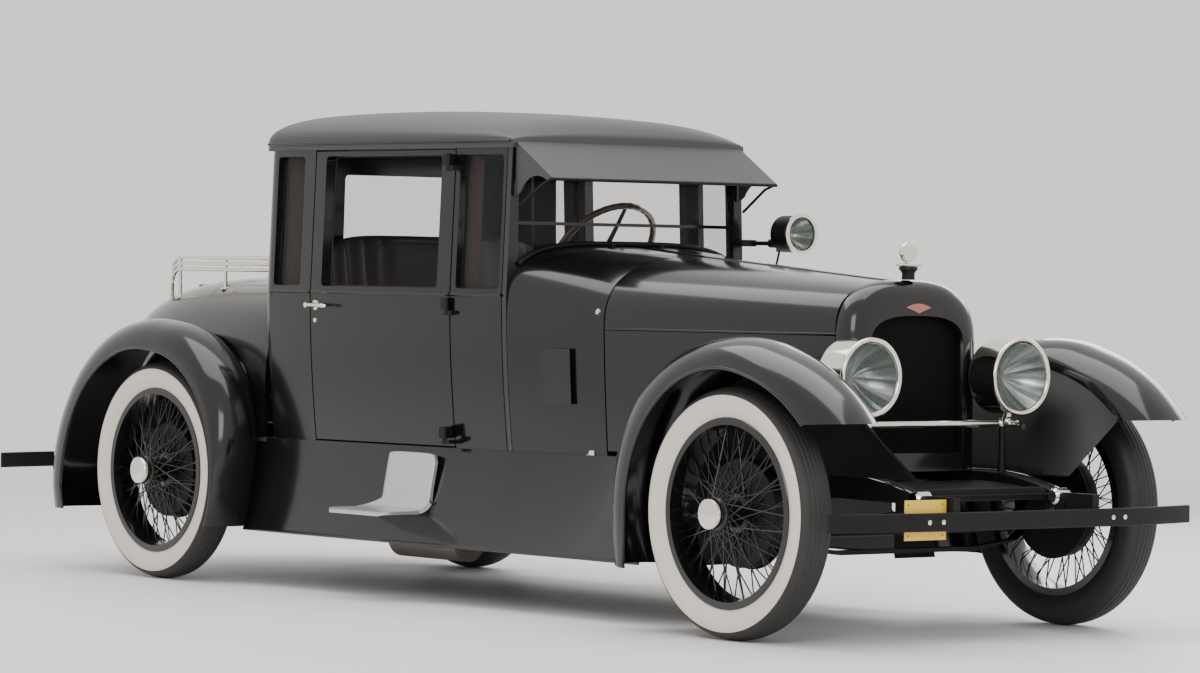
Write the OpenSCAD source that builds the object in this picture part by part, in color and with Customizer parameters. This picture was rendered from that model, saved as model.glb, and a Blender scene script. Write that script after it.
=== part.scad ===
// A closed two-seat car of the 1920s: separate frame, axles, leaf springs and panelled body.
// Frame of reference: +X to the front, +Y to the left, +Z up, origin on the ground under the middle.

/* [Overall] */
// Distance between the front and rear axle
wheelbase = 3353; // [3000:1:4100]
// Distance between the middles of the left and right tyres
track = 1440; // [1400:1:1740]
// Front axle to the face of the front bumper
front_overhang = 590; // [570:1:720]
// Rear axle to the face of the rear bumper
rear_overhang = 1147; // [1100:1:1380]

/* [Wheels] */
// Outer diameter of the tyres
tyre_d = 813; // [760:1:840]
// Width of the tyres
tyre_w = 132; // [110:1:140]
// Radius of the wheel rim's flange
rim_r = 307; // [260:1:320]
// Width between the rim's flanges
rim_w = 104; // [90:1:110]
// Spokes in each wheel
spokes = 20; // [12:2:32]
// Radius of the axle spindles
spindle_r = 18; // [14:1:22]
// Radial clearance of each hub on its spindle
hub_clearance = 0.05; // [0.02:0.01:0.1]
// Radius of the brake drums
drum_r = 175; // [150:1:200]
// How far the kingpins stand inside the tyre's middle
kingpin_inset = 100; // [90:1:120]
// Radius of the kingpins
kingpin_r = 12; // [10:1:16]

/* [Body] */
// Length of the bonnet from the radiator shell to the scuttle
hood_len = 1020; // [900:1:1200]
// Length of the scuttle from the bonnet to the windscreen
cowl_len = 430; // [360:1:520]
// Windscreen to the front edge of the door
front_quarter_len = 282; // [240:1:340]
// Length of the door
door_len = 768; // [640:1:900]
// Rear edge of the door to the back of the cab
rear_quarter_len = 310; // [290:1:380]
// Half width of the bonnet at the radiator
hood_front_half_w = 285; // [270:1:300]
// Half width of the bonnet at the scuttle
hood_half_w = 445; // [430:1:470]
// Half width of the body at the windscreen
post_half_w = 535; // [520:1:560]
// Half width of the body at its widest
body_half_w = 640; // [600:1:650]
// Half width of the rear deck where it leaves the cab
deck_half_w = 620; // [580:1:630]
// Thickness of doors and cab walls
wall = 40; // [30:1:50]
// Thickness of the bonnet panels
hood_sheet = 8; // [4:1:12]
// Thickness of wings and aprons
sheet = 6; // [4:1:10]
// Gap round each door and bonnet panel
shut_gap = 6; // [5:0.5:8]
// Gap between pieces that are bolted together
seat_gap = 0.3; // [0.2:0.1:0.5]

/* [Heights] */
// Top of the chassis frame
frame_top = 530; // [500:1:560]
// Height of the belt line
belt_z = 1080; // [1040:1:1140]
// Lower edge of the side windows
window_low = 1108; // [1095:1:1160]
// Upper edge of the side windows
window_high = 1577; // [1500:1:1585]
// Top of the doors and walls, where the roof begins
cant_z = 1600; // [1590:1:1620]
// Height of the drip rail
drip_z = 1628; // [1615:1:1660]
// Rise of the roof above the drip rail
roof_rise = 127; // [90:1:150]
// Height of the bonnet's crown at the radiator
hood_front_top = 1152; // [1120:1:1170]
// Height of the bonnet's crown at the scuttle
hood_top = 1229; // [1200:1:1250]
// Height of the scuttle's crown at the windscreen
cowl_top = 1266; // [1240:1:1290]
// Height of the bonnet's side hinges
hood_split_z = 980; // [940:1:1010]
// Height of the rear deck
deck_top = 1135; // [1100:1:1160]

/* [Wings] */
// How far the wings reach outside the tyre's middle
wing_reach = 100; // [90:1:120]
// Width of the front wings' dome
front_wing_w = 270; // [250:1:290]
// Height at which the front wings are cut off in front
front_wing_cut = 705; // [660:1:740]
// Lowest edge of the wings
wing_low = 215; // [190:1:260]

/* [Motion] */
// Angle of the steering column above the horizontal
column_angle = 40; // [34:1:46]
// Diameter of the steering wheel
steering_d = 440; // [380:1:460]

/* [Hidden] */
$fn = 96;
tiny = 0.01;

// Lengthways stations. Body functions take x from the front axle; at_front() moves them into place.
total_len = wheelbase + front_overhang + rear_overhang;
front_x = total_len / 2 - front_overhang;
rear_x = front_x - wheelbase;
axle_z = tyre_d / 2;
wheel_y = track / 2;
kingpin_y = wheel_y - kingpin_inset;
rad_front = 45;
rad_back = -34;
hood_front = rad_back - shut_gap;
seam_x = hood_front - hood_len;
post_x = seam_x - cowl_len;
door_front = post_x - front_quarter_len;
door_rear = door_front - door_len;
cab_rear = door_rear - rear_quarter_len;
post_depth = 26;
corner_r = 60;
corner_x = cab_rear + corner_r;
floor_t = 15;
floor_low = frame_top + seat_gap;
floor_top = floor_low + floor_t;
sill_z = floor_top + seat_gap;
frame_depth = 80;
frame_low = frame_top - frame_depth;
rail_w = 60;
frame_front = 480;
frame_end = -wheelbase - 890;
deck_start = cab_rear - seat_gap;
deck_end = -wheelbase - 897;
deck_knee = -wheelbase + 60;
deck_t = 20;
lid_x = -wheelbase - 510;
lid_half_w = 300;
lid_low = 640;
wing_out = wheel_y + wing_reach;
bumper_z = 400;
bumper_h = 59;
bumper_t = 12;

function mix(a, b, t) = a + (b - a) * t;
function unit(t) = min(1, max(0, t));
function spread(a, b, n) = [for (i = [0:n]) mix(a, b, i / n)];
function flip(list) = [for (i = [len(list) - 1:-1:0]) list[i]];
// Height of a unit superellipse of power n above its base at offset t
function dome(t, n) = pow(max(0, 1 - pow(min(1, abs(t)), n)), 1 / n);

module at_front() { translate([front_x, 0, 0]) children(); }
module both_sides() { children(); mirror([0, 1, 0]) children(); }

// Signed volume of a triangle list, used to turn every face outwards
function triangle_volume(p, f) = cross(p[f[0]], p[f[1]]) * p[f[2]] / 6;
function sum_volume(p, f, lo, hi) = hi - lo < 1 ? triangle_volume(p, f[lo])
    : let (mid = floor((lo + hi) / 2)) sum_volume(p, f, lo, mid) + sum_volume(p, f, mid + 1, hi);

// Solid through closed rings of equal, even length; each ring is an outer line followed by
// the inner line backwards, so the ends close with a strip of triangles
module loft(rings) {
    n = len(rings[0]);
    m = len(rings);
    last = (m - 1) * n;
    points = [for (ring = rings) each ring];
    skin = [for (i = [0:m - 2], j = [0:n - 1]) let (a = i * n + j, b = i * n + (j + 1) % n)
        each [[a, a + n, b + n], [a, b + n, b]]];
    start = [for (j = [0:n / 2 - 2]) each [[j, j + 1, n - 2 - j], [j, n - 2 - j, n - 1 - j]]];
    end = [for (f = start) [last + f[0], last + f[2], last + f[1]]];
    faces = [for (f = concat(skin, start, end)) if (cross(points[f[1]] - points[f[0]],
        points[f[2]] - points[f[0]]) != [0, 0, 0]) f];
    outward = sum_volume(points, faces, 0, len(faces) - 1) < 0;
    polyhedron(points, outward ? faces : [for (f = faces) [f[0], f[2], f[1]]], convexity = 6);
}

// Upright wall whose outside is y = shape(x, z): from offset `near` out to offset `far`
module wall_panel(xs, zs, shape, near, far, bevel = 0) {
    loft([for (x = xs) let (lean = x == xs[len(xs) - 1] ? bevel : 0) concat(
        [for (z = zs) [x, shape(x, z) + far, z]],
        [for (z = flip(zs)) [x + lean, shape(x, z) + near, z]])]);
}

// Half width of the body at the belt
function body_w(x) =
    x > seam_x ? mix(hood_front_half_w, hood_half_w, unit((hood_front - x) / hood_len))
    : x > post_x ? mix(hood_half_w, post_half_w, (seam_x - x) / cowl_len)
    : body_half_w - (body_half_w - post_half_w)
        * pow(unit((x - (cab_rear + 100)) / (post_x - cab_rear - 100)), 1.7);
turn_under = 36;
tumble_home = 22;
function turn(x) = turn_under * unit((hood_front - x) / (hood_len + cowl_len));
// Outside of the body at station x and height z: leans in above and below the belt
function side_y(x, z) = body_w(x) - tumble_home * unit((z - belt_z) / (drip_z - belt_z))
    - turn(x) * pow(unit((belt_z - z) / (belt_z - sill_z)), 1.7);
side = function(x, z) side_y(x, z);
function sill_y(x) = side_y(x, sill_z);

// Section of bonnet and scuttle: straight sides up to the split, then a superelliptic crown
function crown_z(x) = x > seam_x ? mix(hood_front_top, hood_top, (hood_front - x) / hood_len)
    : mix(hood_top, cowl_top, (seam_x - x) / cowl_len);
function crown_n(x) = x > seam_x ? mix(2.85, 2.6, (hood_front - x) / hood_len)
    : mix(2.6, 3.85, (seam_x - x) / cowl_len);
function crown_point(x, a, inset) = let (n = crown_n(x), w = side_y(x, hood_split_z) - inset)
    [x, w * pow(cos(a), 2 / n),
        hood_split_z + (crown_z(x) - inset - hood_split_z) * pow(sin(a), 2 / n)];
crown_angles = [6, 16, 28, 40, 52, 64, 76, 90];
function half_section(x, inset, low) = concat(
    [for (z = spread(low, hood_split_z, 3)) [x, side_y(x, z) - inset, z]],
    [for (a = crown_angles) crown_point(x, a, inset)]);
function full_section(x, inset, low) = let (half = half_section(x, inset, low)) concat(half,
    [for (p = flip(half)) if (p[1] > tiny) [p[0], -p[1], p[2]]]);

// Rear deck: superelliptic section that shrinks towards the tail
function deck_s(x) = unit((deck_knee - x) / (deck_knee - deck_end + 8));
function deck_z(x) = sill_z + (deck_top - sill_z) * dome(deck_s(x), 3);
function deck_y(x) = (deck_half_w - 170 * pow(unit((deck_start - x) / (deck_start - deck_end)), 1.6))
    * dome(deck_s(x), 6);
function deck_ring(x, inset) = let (w = deck_y(x) - inset, h = deck_z(x) - sill_z - inset,
    half = [for (a = [0, 10, 22, 34, 46, 58, 74, 90])
        [x, w * sqrt(cos(a)), sill_z + h * sqrt(sin(a))]])
    concat(half, [for (p = flip(half)) if (p[1] > tiny) [p[0], -p[1], p[2]]]);

// Chassis ------------------------------------------------------------------------------------

// Outside of the chassis rails, narrower in front
function frame_y(x) = 335 + 70 * unit((50 - x) / 950);

module cross_member(x, depth = 60) {
    half = frame_y(x) - rail_w + tiny;
    translate([x - depth / 2, -half, frame_low]) cube([depth, 2 * half, frame_depth / 2]);
}

spring_hanger_y = 460;
rear_spring_half = 600;
front_spring_half = 440;
frame_bends = [frame_front, 50, -900, frame_end];

module frame() {
    color("#1b1c1d") at_front() {
        both_sides() {
            translate([0, 0, frame_low]) linear_extrude(frame_depth) polygon(concat(
                [for (x = frame_bends) [x, frame_y(x)]],
                [for (x = flip(frame_bends)) [x, frame_y(x) - rail_w]]));
            for (s = [-1, 1]) translate([-wheelbase + s * rear_spring_half - 20, frame_y(-2000) - tiny,
                frame_low]) cube([40, spring_hanger_y + 25 - frame_y(-2000), 50]);
        }
        for (x = [400, -200, -760, -1500, -2300, -wheelbase - 350]) cross_member(x);
        cross_member(frame_end + 35);
    }
}

beam_top = 350;
beam_depth = 88;
boss_half = 47;

module front_axle() {
    low = beam_top - beam_depth;
    half_beam = [[0, low], [kingpin_y - 320, low], [kingpin_y - 140, low + 30], [kingpin_y - 50, axle_z - 40],
        [kingpin_y, axle_z - 40], [kingpin_y, axle_z + 38], [kingpin_y - 62, axle_z + 38],
        [kingpin_y - 160, beam_top], [0, beam_top]];
    color("#1b1c1d") at_front() difference() {
        union() {
            both_sides() {
                rotate([90, 0, 90]) translate([0, 0, -22]) linear_extrude(44) polygon(half_beam);
                translate([0, kingpin_y, axle_z - boss_half]) cylinder(r = 24, h = 2 * boss_half);
            }
        }
        both_sides() translate([0, kingpin_y, axle_z - boss_half - 1])
            cylinder(r = kingpin_r + hub_clearance, h = 2 * boss_half + 2);
    }
}

plate_at = wheel_y - 60;
spindle_end = 95;
axle_tube_r = 36;

module backing_plate_and_spindle() {
    translate([0, plate_at, axle_z]) rotate([-90, 0, 0]) cylinder(r = drum_r + 6, h = 6);
    translate([0, plate_at, axle_z]) rotate([-90, 0, 0])
        cylinder(r = spindle_r, h = wheel_y - plate_at + spindle_end);
}

module rear_axle() {
    color("#1b1c1d") translate([rear_x, 0, 0]) {
        both_sides() backing_plate_and_spindle();
        translate([0, -plate_at - tiny, axle_z]) rotate([-90, 0, 0])
            cylinder(r = axle_tube_r, h = 2 * plate_at + 2 * tiny);
        translate([0, -75, axle_z]) rotate([-90, 0, 0]) cylinder(r = 118, h = 150);
    }
}

// One leaf pack: thick at the axle, thin at its upturned ends
module leaf_pack(half, seat_z, end_z, thick, width, hang) {
    xs = spread(-half, half, 16);
    function top_z(x) = mix(seat_z, end_z, pow(x / half, 2));
    function leaf_t(x) = mix(thick, 12, unit(abs(x) / half));
    translate([0, width / 2, 0]) rotate([90, 0, 0]) linear_extrude(width) polygon(concat(
        [for (x = xs) [x, top_z(x)]],
        [for (x = flip(xs)) [x, top_z(x) - leaf_t(x)]]));
    for (s = [-1, 1]) translate([s * half, 0, end_z - 15]) rotate([90, 0, 0])
        cylinder(r = 15 - hang, h = width, center = true);
}

module leaf_springs() {
    color("#232425") both_sides() {
        translate([front_x, frame_y(100) - 30, 0]) leaf_pack(front_spring_half,
            beam_top + seat_gap + 40, frame_low - seat_gap, 40, 50, 0);
        translate([rear_x, spring_hanger_y, 0]) leaf_pack(rear_spring_half,
            axle_z - axle_tube_r - seat_gap, frame_low - seat_gap, 46, 50, 0);
    }
}

engine_half_w = 150;
engine_rear = -860;
sump_front = -236;
sump_rear = -724;
sump_low = 300;

module engine_block() {
    low = frame_low + frame_depth / 2 + seat_gap;
    color("#4a4d50") at_front() {
        translate([engine_rear, -engine_half_w, low]) cube([-180 - engine_rear, 2 * engine_half_w, 460]);
        translate([sump_rear, -engine_half_w, sump_low])
            cube([sump_front - sump_rear, 2 * engine_half_w, low - sump_low + tiny]);
    }
}

shaft_z = axle_z + 20;

module drive_shaft() {
    box_len = 360;
    color("#2a2c2e") at_front() {
        translate([engine_rear - seat_gap - box_len, -110, frame_low - 70]) cube([box_len, 220, 66]);
        translate([engine_rear - seat_gap - 150, -110, frame_low - 70]) cube([150, 220, 130]);
        translate([-wheelbase + 118 + seat_gap, 0, shaft_z - 20]) rotate([0, 90, 0])
            cylinder(r = 32, h = wheelbase - 118 + engine_rear - 2 * seat_gap - box_len + 1);
    }
}

muffler_r = 68;
muffler_x = -2240;

module exhaust() {
    pipe_r = 22;
    pipe_z = 230;
    y = -380;
    color("#3a3632") at_front() {
        translate([muffler_x, -420, 205]) rotate([0, 90, 0]) cylinder(r = muffler_r, h = 400);
        translate([muffler_x + 380, y, pipe_z]) rotate([0, 90, 0]) cylinder(r = pipe_r, h = 1000);
        translate([muffler_x - 700, y - 30, pipe_z]) rotate([0, 90, 0]) cylinder(r = pipe_r, h = 720);
        translate([muffler_x + 1380, y, pipe_z]) {
            sphere(r = pipe_r);
            cylinder(r = pipe_r, h = frame_low - seat_gap - pipe_z);
        }
    }
}

module fuel_tank() {
    x = -wheelbase - 640;
    half = frame_y(x) - rail_w - seat_gap;
    color("#202122") at_front() translate([x, -half, frame_low - 8]) rotate([-90, 0, 0])
        cylinder(r = 82, h = 2 * half);
}

// Body ---------------------------------------------------------------------------------------

module floor() {
    tail = spread(deck_start - 1, deck_end + 20, 10);
    edge = concat([for (x = cab_xs) [x, sill_y(x) - 2]], [for (x = tail) [x, deck_y(x) - 2]]);
    color("#2b2a28") at_front() translate([0, 0, floor_low]) linear_extrude(floor_t)
        polygon(concat(edge, [for (p = flip(edge)) [p[0], -p[1]]]));
}

cowl_t = 30;
firewall_t = 14;

module cowl() {
    xs = spread(seam_x, post_x, 4);
    color("#0b0b0c") at_front() loft([for (x = xs) concat(full_section(x, 0, sill_z),
        flip(full_section(x, cowl_t, sill_z)))]);
}

module firewall() {
    x = seam_x - 6;
    ring = full_section(seam_x, cowl_t + seat_gap, sill_z);
    color("#1c1d1e") at_front() translate([x, 0, 0]) rotate([90, 0, 90]) translate([0, 0, -firewall_t])
        linear_extrude(firewall_t) polygon([for (p = ring) [p[1], p[2]]]);
}

opening_half = post_half_w - 48;
screen_bar_z = 1333;
dash_low = 1120;

module windscreen_frame() {
    x = post_x - seat_gap;
    mid = post_x - post_depth / 2;
    rise = spread(sill_z, cant_z, 10);
    arc = [for (y = spread(-opening_half, opening_half, 16)) [y, screen_base_z(y)]];
    color("#0b0b0c") at_front() translate([x, 0, 0]) rotate([90, 0, 90]) {
        translate([0, 0, -post_depth]) linear_extrude(post_depth) difference() {
            polygon(concat([for (z = rise) [side_y(mid, z), z]],
                [for (z = flip(rise)) [-side_y(mid, z), z]]));
            translate([-opening_half + 4, sill_z - 1]) square([2 * opening_half - 8, dash_low - sill_z]);
            polygon(concat(arc, [[opening_half, window_high - 12], [-opening_half, window_high - 12]]));
        }
        translate([-opening_half - tiny, screen_bar_z, -post_depth + 4])
            cube([2 * opening_half + 2 * tiny, 12, 18]);
    }
}

// Lower edge of the windscreen opening, just above the scuttle's crown
function screen_base_z(y) = let (n = crown_n(post_x), w = side_y(post_x, hood_split_z))
    hood_split_z + 10 + (cowl_top - hood_split_z) * dome(y / w, n);

quarter_window_front = [post_x - post_depth - 15, door_front + 26];
quarter_window_rear = [door_rear - 66, door_rear - 232];
back_window_half = 300;
back_window = [1210, 1520];
pane_t = 5;
pane_in = 20;

module window_glass() {
    x = post_x - post_depth / 2 - 2;
    screen_top = window_high - 12 - seat_gap;
    half = opening_half - seat_gap;
    arc = [for (y = spread(-half, half, 16)) [y, screen_base_z(y) + seat_gap]];
    zs = spread(window_low + seat_gap, window_high - seat_gap, 3);
    color("#9fb0b4", 0.35) at_front() {
        translate([x, 0, 0]) rotate([90, 0, 90]) translate([0, 0, -pane_t]) linear_extrude(pane_t) {
            polygon(concat(arc, [[half, screen_bar_z - seat_gap], [-half, screen_bar_z - seat_gap]]));
            translate([-half, screen_bar_z + 12 + seat_gap])
                square([2 * half, screen_top - screen_bar_z - 12 - seat_gap]);
        }
        both_sides() for (span = [quarter_window_front, quarter_window_rear])
            wall_panel(spread(span[0] - seat_gap, span[1] + seat_gap, 2), zs, side,
                -pane_in - pane_t, -pane_in);
        translate([cab_rear + wall / 2, -back_window_half + seat_gap, back_window[0] + seat_gap])
            cube([pane_t, 2 * (back_window_half - seat_gap), back_window[1] - back_window[0] - 2 * seat_gap]);
    }
}

// Heights of the body-side grid, with one at each bend
side_zs = concat(spread(sill_z, belt_z, 4), spread(belt_z + 120, cant_z, 3));

module side_opening(span) {
    translate([span[1], body_half_w - 250, window_low])
        cube([span[0] - span[1], 400, window_high - window_low]);
}

hinge_x = door_front;
hinge_y = body_w(door_front) + 14;
hinge_zs = [600, 1053, 1560];
barrel_r = 9;

// Fixed half of each door hinge: a barrel under the door's own and an arm to the pillar
module pillar_hinges() {
    for (z = hinge_zs) {
        translate([hinge_x, hinge_y, z - 40]) cylinder(r = barrel_r, h = 17.5);
        translate([hinge_x, hinge_y - 6, z - 38]) cube([30, 10, 14]);
        translate([hinge_x + 12, side_y(hinge_x + 20, z) - 8, z - 38])
            cube([18, hinge_y - side_y(hinge_x + 20, z) + 10, 14]);
    }
}

module body_sides() {
    front = spread(post_x - post_depth - 2 * seat_gap, door_front + shut_gap / 2, 3);
    rear = spread(door_rear - shut_gap / 2, corner_x, 3);
    color("#0b0b0c") at_front() both_sides() {
        difference() {
            wall_panel(front, side_zs, side, -wall, 0);
            side_opening(quarter_window_front);
        }
        pillar_hinges();
        difference() {
            wall_panel(rear, side_zs, side, -wall, 0);
            side_opening(quarter_window_rear);
        }
    }
}

// Plan outline of the cab's back, with round corners, at height z and inset from the outside
function back_outline(z, inset) = let (w = side_y(corner_x, z), r = corner_r - inset,
    half = concat([[corner_x - seat_gap, w - inset, z]],
        [for (a = [15, 35, 55, 75, 90])
            [corner_x - seat_gap - (r - seat_gap) * sin(a), w - corner_r + r * cos(a), z]]))
    concat(half, [for (p = flip(half)) [p[0], -p[1], z]]);

module cab_back() {
    color("#0b0b0c") at_front() difference() {
        loft([for (z = side_zs) concat(back_outline(z, 0), flip(back_outline(z, wall)))]);
        translate([cab_rear - 50, -back_window_half, back_window[0]])
            cube([200, 2 * back_window_half, back_window[1] - back_window[0]]);
    }
}

roof_front = post_x + 7;
roof_rear = cab_rear - 30;
roof_t = 36;
roof_lip = 10;
roof_nose = 170;
function roof_q(x, end) = dome(unit((end + 100 - x) / 101), 2.6);
// Share of the crown's height left where the roof rolls down to its front edge
function roof_roll(x) = mix(0.1, 1, dome(unit((x - roof_front + roof_nose) / (roof_nose + 1)), 2.2));
function roof_w(x) = side_y(max(x, cab_rear), drip_z);
function roof_c(x) = roof_rise * (1 - 0.41 * pow((x - (cab_rear + 370)) / (post_x - cab_rear - 370), 2));
// Ring across the roof: a flat base and a superelliptic crown
function roof_ring(x, end, inset, grow, base) = let (q = roof_q(x, end),
    w = roof_w(x) + grow - inset - 80 * (1 - q),
    c = max(4, (roof_c(x) - inset * 0.6) * mix(0.25, 1, q) * roof_roll(x)),
    vs = [-1, -0.985, -0.94, -0.85, -0.7, -0.5, -0.25, 0, 0.25, 0.5, 0.7, 0.85, 0.94, 0.985, 1])
    concat([for (v = vs) [x, w * v, drip_z - inset * 0.4 + c * dome(v, 2.4)]],
        [for (v = flip(vs)) [x, w * v, base]]);

module roof() {
    outer = concat([for (t = [0, 2, 8, 20, 42, 78, 122]) roof_front - t],
        spread(roof_front - roof_nose, cab_rear + 60, 6),
        [for (t = [40, 62, 80, 92, 99]) roof_rear + 100 - t]);
    inner = concat([for (t = [0, 30, 70]) post_x - post_depth - t],
        spread(roof_front - roof_nose, cab_rear + 130, 5),
        [for (t = [30, 60, 82, 96]) cab_rear + wall + 98 - t]);
    color("#111213") at_front() difference() {
        loft([for (x = outer) roof_ring(x, roof_rear, 0, roof_lip, cant_z + seat_gap)]);
        loft([for (x = inner) roof_ring(x, cab_rear + wall, wall + 4, 0, cant_z - 20)]);
    }
}

module sun_visor() {
    back = roof_front + seat_gap;
    tip = roof_front + 204;
    half = post_half_w - 28;
    color("#2a2b2c") at_front() {
        translate([0, half, 0]) rotate([90, 0, 0]) linear_extrude(2 * half)
            polygon([[back, 1622], [tip, 1496], [tip, 1488], [back, 1612]]);
        both_sides() translate([0, half, 0]) rotate([90, 0, 0]) linear_extrude(5) difference() {
            polygon([[back, 1614], [tip - 4, 1492], [back + 40, 1455], [back, 1430]]);
            translate([back + 120, 1400]) circle(r = 102);
        }
    }
}

module dashboard() {
    x = post_x - post_depth - 2 * seat_gap;
    half = opening_half - 10;
    color("#3b2618") at_front() translate([x - 25, -half, dash_low - 30]) cube([25, 2 * half, 130]);
}

seat_front = door_front - 270;
seat_rear = door_rear + 40;
seat_half = post_half_w - 40;

module seat_box() {
    color("#2b211b") at_front() translate([seat_rear, -seat_half + 20, sill_z])
        cube([seat_front - seat_rear - 40, 2 * seat_half - 40, 150]);
}

module seat_cushion() {
    color("#26211f") at_front() translate([seat_rear, -seat_half, sill_z + 150 + seat_gap])
        cube([seat_front - seat_rear, 2 * seat_half, 170]);
}

module seat_back() {
    x = seat_rear - seat_gap;
    z = sill_z + 150;
    color("#26211f") at_front() translate([0, seat_half + 10, 0]) rotate([90, 0, 0])
        linear_extrude(2 * seat_half + 20) polygon([[x, z + seat_gap], [x, z + 300], [x - 60, 1296],
            [x - 170, 1290], [x - 130, sill_z], [x - 10, sill_z]]);
}

column_y = 350;
wheel_hub = [door_front - 300, 1257];
column_dir = [-cos(column_angle), 0, sin(column_angle)];

// Puts its children on the column's line, `d` below the wheel's hub
module on_column(d) {
    translate([wheel_hub[0] - d * column_dir[0], column_y, wheel_hub[1] - d * column_dir[2]])
        rotate([0, column_angle - 90, 0]) children();
}

module steering_column() {
    len = (wheel_hub[1] - sill_z - 26) / sin(column_angle);
    foot = wheel_hub[0] + cos(column_angle) * len;
    stay_x = post_x - post_depth - 2 * seat_gap - 12;
    stay_z = wheel_hub[1] - (stay_x - wheel_hub[0]) * tan(column_angle);
    color("#151515") at_front() {
        on_column(len) cylinder(r = 20, h = len - 45);
        on_column(46) cylinder(r = 9, h = 56);
        translate([foot + 4, column_y, sill_z]) cylinder(r = 48, h = 22);
        translate([stay_x, column_y, stay_z]) cylinder(r = 8, h = dash_low - 30 - seat_gap - stay_z);
    }
}

module steering_wheel() {
    r = steering_d / 2;
    color("#3d2415") at_front() on_column(0) {
        rotate_extrude() translate([r - 13, 0]) circle(r = 13);
        difference() {
            union() {
                translate([0, 0, -34]) cylinder(r = 34, h = 44);
                for (a = [0:90:270]) rotate([0, 0, a]) translate([20, -9, -8]) cube([r - 36, 18, 8]);
            }
            translate([0, 0, -35]) cylinder(r = 9 + hub_clearance, h = 60);
        }
    }
}

// Rear deck ----------------------------------------------------------------------------------

deck_xs = concat(spread(deck_start, deck_knee, 4),
    [for (t = [0.2, 0.38, 0.55, 0.7, 0.82, 0.9, 0.96, 1]) mix(deck_knee, deck_end, t)]);

// Hollow shell of the deck with a closed tail, open below and towards the cab
module deck_body() {
    cavity = [for (x = deck_xs) if (x > deck_end + deck_t) x];
    difference() {
        loft([for (x = deck_xs) deck_solid_ring(x, 0, sill_z)]);
        loft([for (x = concat([deck_start + 5], [for (x = cavity) if (x < deck_start - 1) x]))
            deck_solid_ring(x, deck_t, sill_z - 5)]);
    }
}
function deck_solid_ring(x, inset, low) = let (top = deck_ring(min(x, deck_start), inset),
    half = (len(top) + 1) / 2)
    concat([for (p = top) [x, p[1], p[2]]], [for (p = flip(top)) [x, p[1], low]]);

lid_hinge_ys = [-180, 180];
lid_hinge_r = 7;
lid_axis = [lid_x - 2, sill_z + (deck_z(lid_x) - sill_z) * 0.995 + 6];
lid_slope = atan((deck_z(lid_x) - deck_z(lid_x - 40)) / 40);

// Barrel of length h at the lid's axis with a flat leaf that starts `start` from it
module lid_hinge_part(y, h, start) {
    translate([lid_axis[0], y - h / 2, lid_axis[1]]) {
        rotate([-90, 0, 0]) cylinder(r = lid_hinge_r, h = h);
        rotate([0, -lid_slope, 0]) translate([start, 0, -lid_hinge_r - 5]) cube([36, h, 10]);
    }
}

module rear_deck() {
    color("#0b0b0c") at_front() {
        difference() {
            deck_body();
            translate([deck_end - 50, -lid_half_w, lid_low])
                cube([lid_x - deck_end + 50, 2 * lid_half_w, 700]);
        }
        for (y = lid_hinge_ys, s = [-1, 1]) lid_hinge_part(y + s * 40.5, 40, 0);
    }
}

module deck_lid() {
    gap = shut_gap - 1;
    color("#0b0b0c") at_front() {
        intersection() {
            deck_body();
            translate([deck_end - 50, -lid_half_w + gap, lid_low + gap])
                cube([lid_x - deck_end + 50 - gap, 2 * lid_half_w - 2 * gap, 700]);
        }
        for (y = lid_hinge_ys) lid_hinge_part(y, 40, -36);
    }
}

rack_front = cab_rear - 250;
rack_rear = cab_rear - 880;
rack_half = 420;
rack_z = [1205, 1183, 1161];

module luggage_rack() {
    r = 7;
    post = 17;
    span = rack_front - rack_rear;
    xs = [rack_front, mix(rack_front, rack_rear, 0.5), rack_rear];
    color("#c9c7c0") at_front() {
        both_sides() {
            for (z = rack_z) translate([rack_rear, rack_half, z]) rotate([0, 90, 0])
                cylinder(r = r, h = span);
            for (x = xs) translate([x - post / 2, rack_half - post / 2, deck_foot_z(x)])
                cube([post, post, rack_z[0] + r + 1 - deck_foot_z(x)]);
        }
        for (x = [rack_front, rack_rear]) translate([x, -rack_half, rack_z[0]]) rotate([-90, 0, 0])
            cylinder(r = r - 0.5, h = 2 * rack_half);
        for (y = [-250, -125, 0, 125, 250]) translate([rack_rear - 10, y - 12, rack_z[0] + 4])
            cube([span + 20, 24, 6]);
    }
}
// Height of the deck's surface under a rack foot
function deck_foot_z(x) = let (w = deck_y(x)) sill_z + (deck_z(x) - sill_z)
    * pow(1 - pow((rack_half - 9) / w, 4), 0.25) - 1.7;

// Aprons, steps and wings --------------------------------------------------------------------

apron_low = 205;
apron_top = floor_top - 1;
apron_bottom_y = 642;
apron_front = -640;
apron = function(x, z) mix(max(sill_y(x) - 1.4, frame_y(x) + 1), mix(apron_bottom_y - 30, apron_bottom_y,
    unit((seam_x - x) / 1500)), unit((apron_top - z) / (apron_top - apron_low)));

step_span = [door_front - 85, door_front - 335];
step_len = 290;
step_low = 284;
step_t = 38;
step_xs = spread(step_span[0], step_span[1], 5);
step_zs = spread(step_low + 30, frame_top - 6, 5);
cab_xs = concat(spread(seam_x, step_span[0] + 40, 8), step_xs, spread(step_span[1] - 50, cab_rear, 9));

module splash_aprons() {
    xs = concat(spread(apron_front, seam_x + 80, 4), cab_xs);
    zs = concat([apron_low, 262], step_zs, [floor_low, apron_top]);
    color("#101112") at_front() both_sides() wall_panel(xs, zs, apron, 0, sheet);
}

module steps() {
    color("#b9b9b7") at_front() both_sides() {
        wall_panel(step_xs, step_zs, apron, sheet + 0.5, sheet + 10);
        difference() {
            translate([step_span[1] - 60, 620, step_low]) cube([step_len, 180, step_t]);
            wall_panel(spread(step_span[0] + 40, step_span[1] - 80, 6),
                [step_low - 20, step_low + step_t + 18], apron, -60, sheet + 0.6);
        }
    }
}

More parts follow.
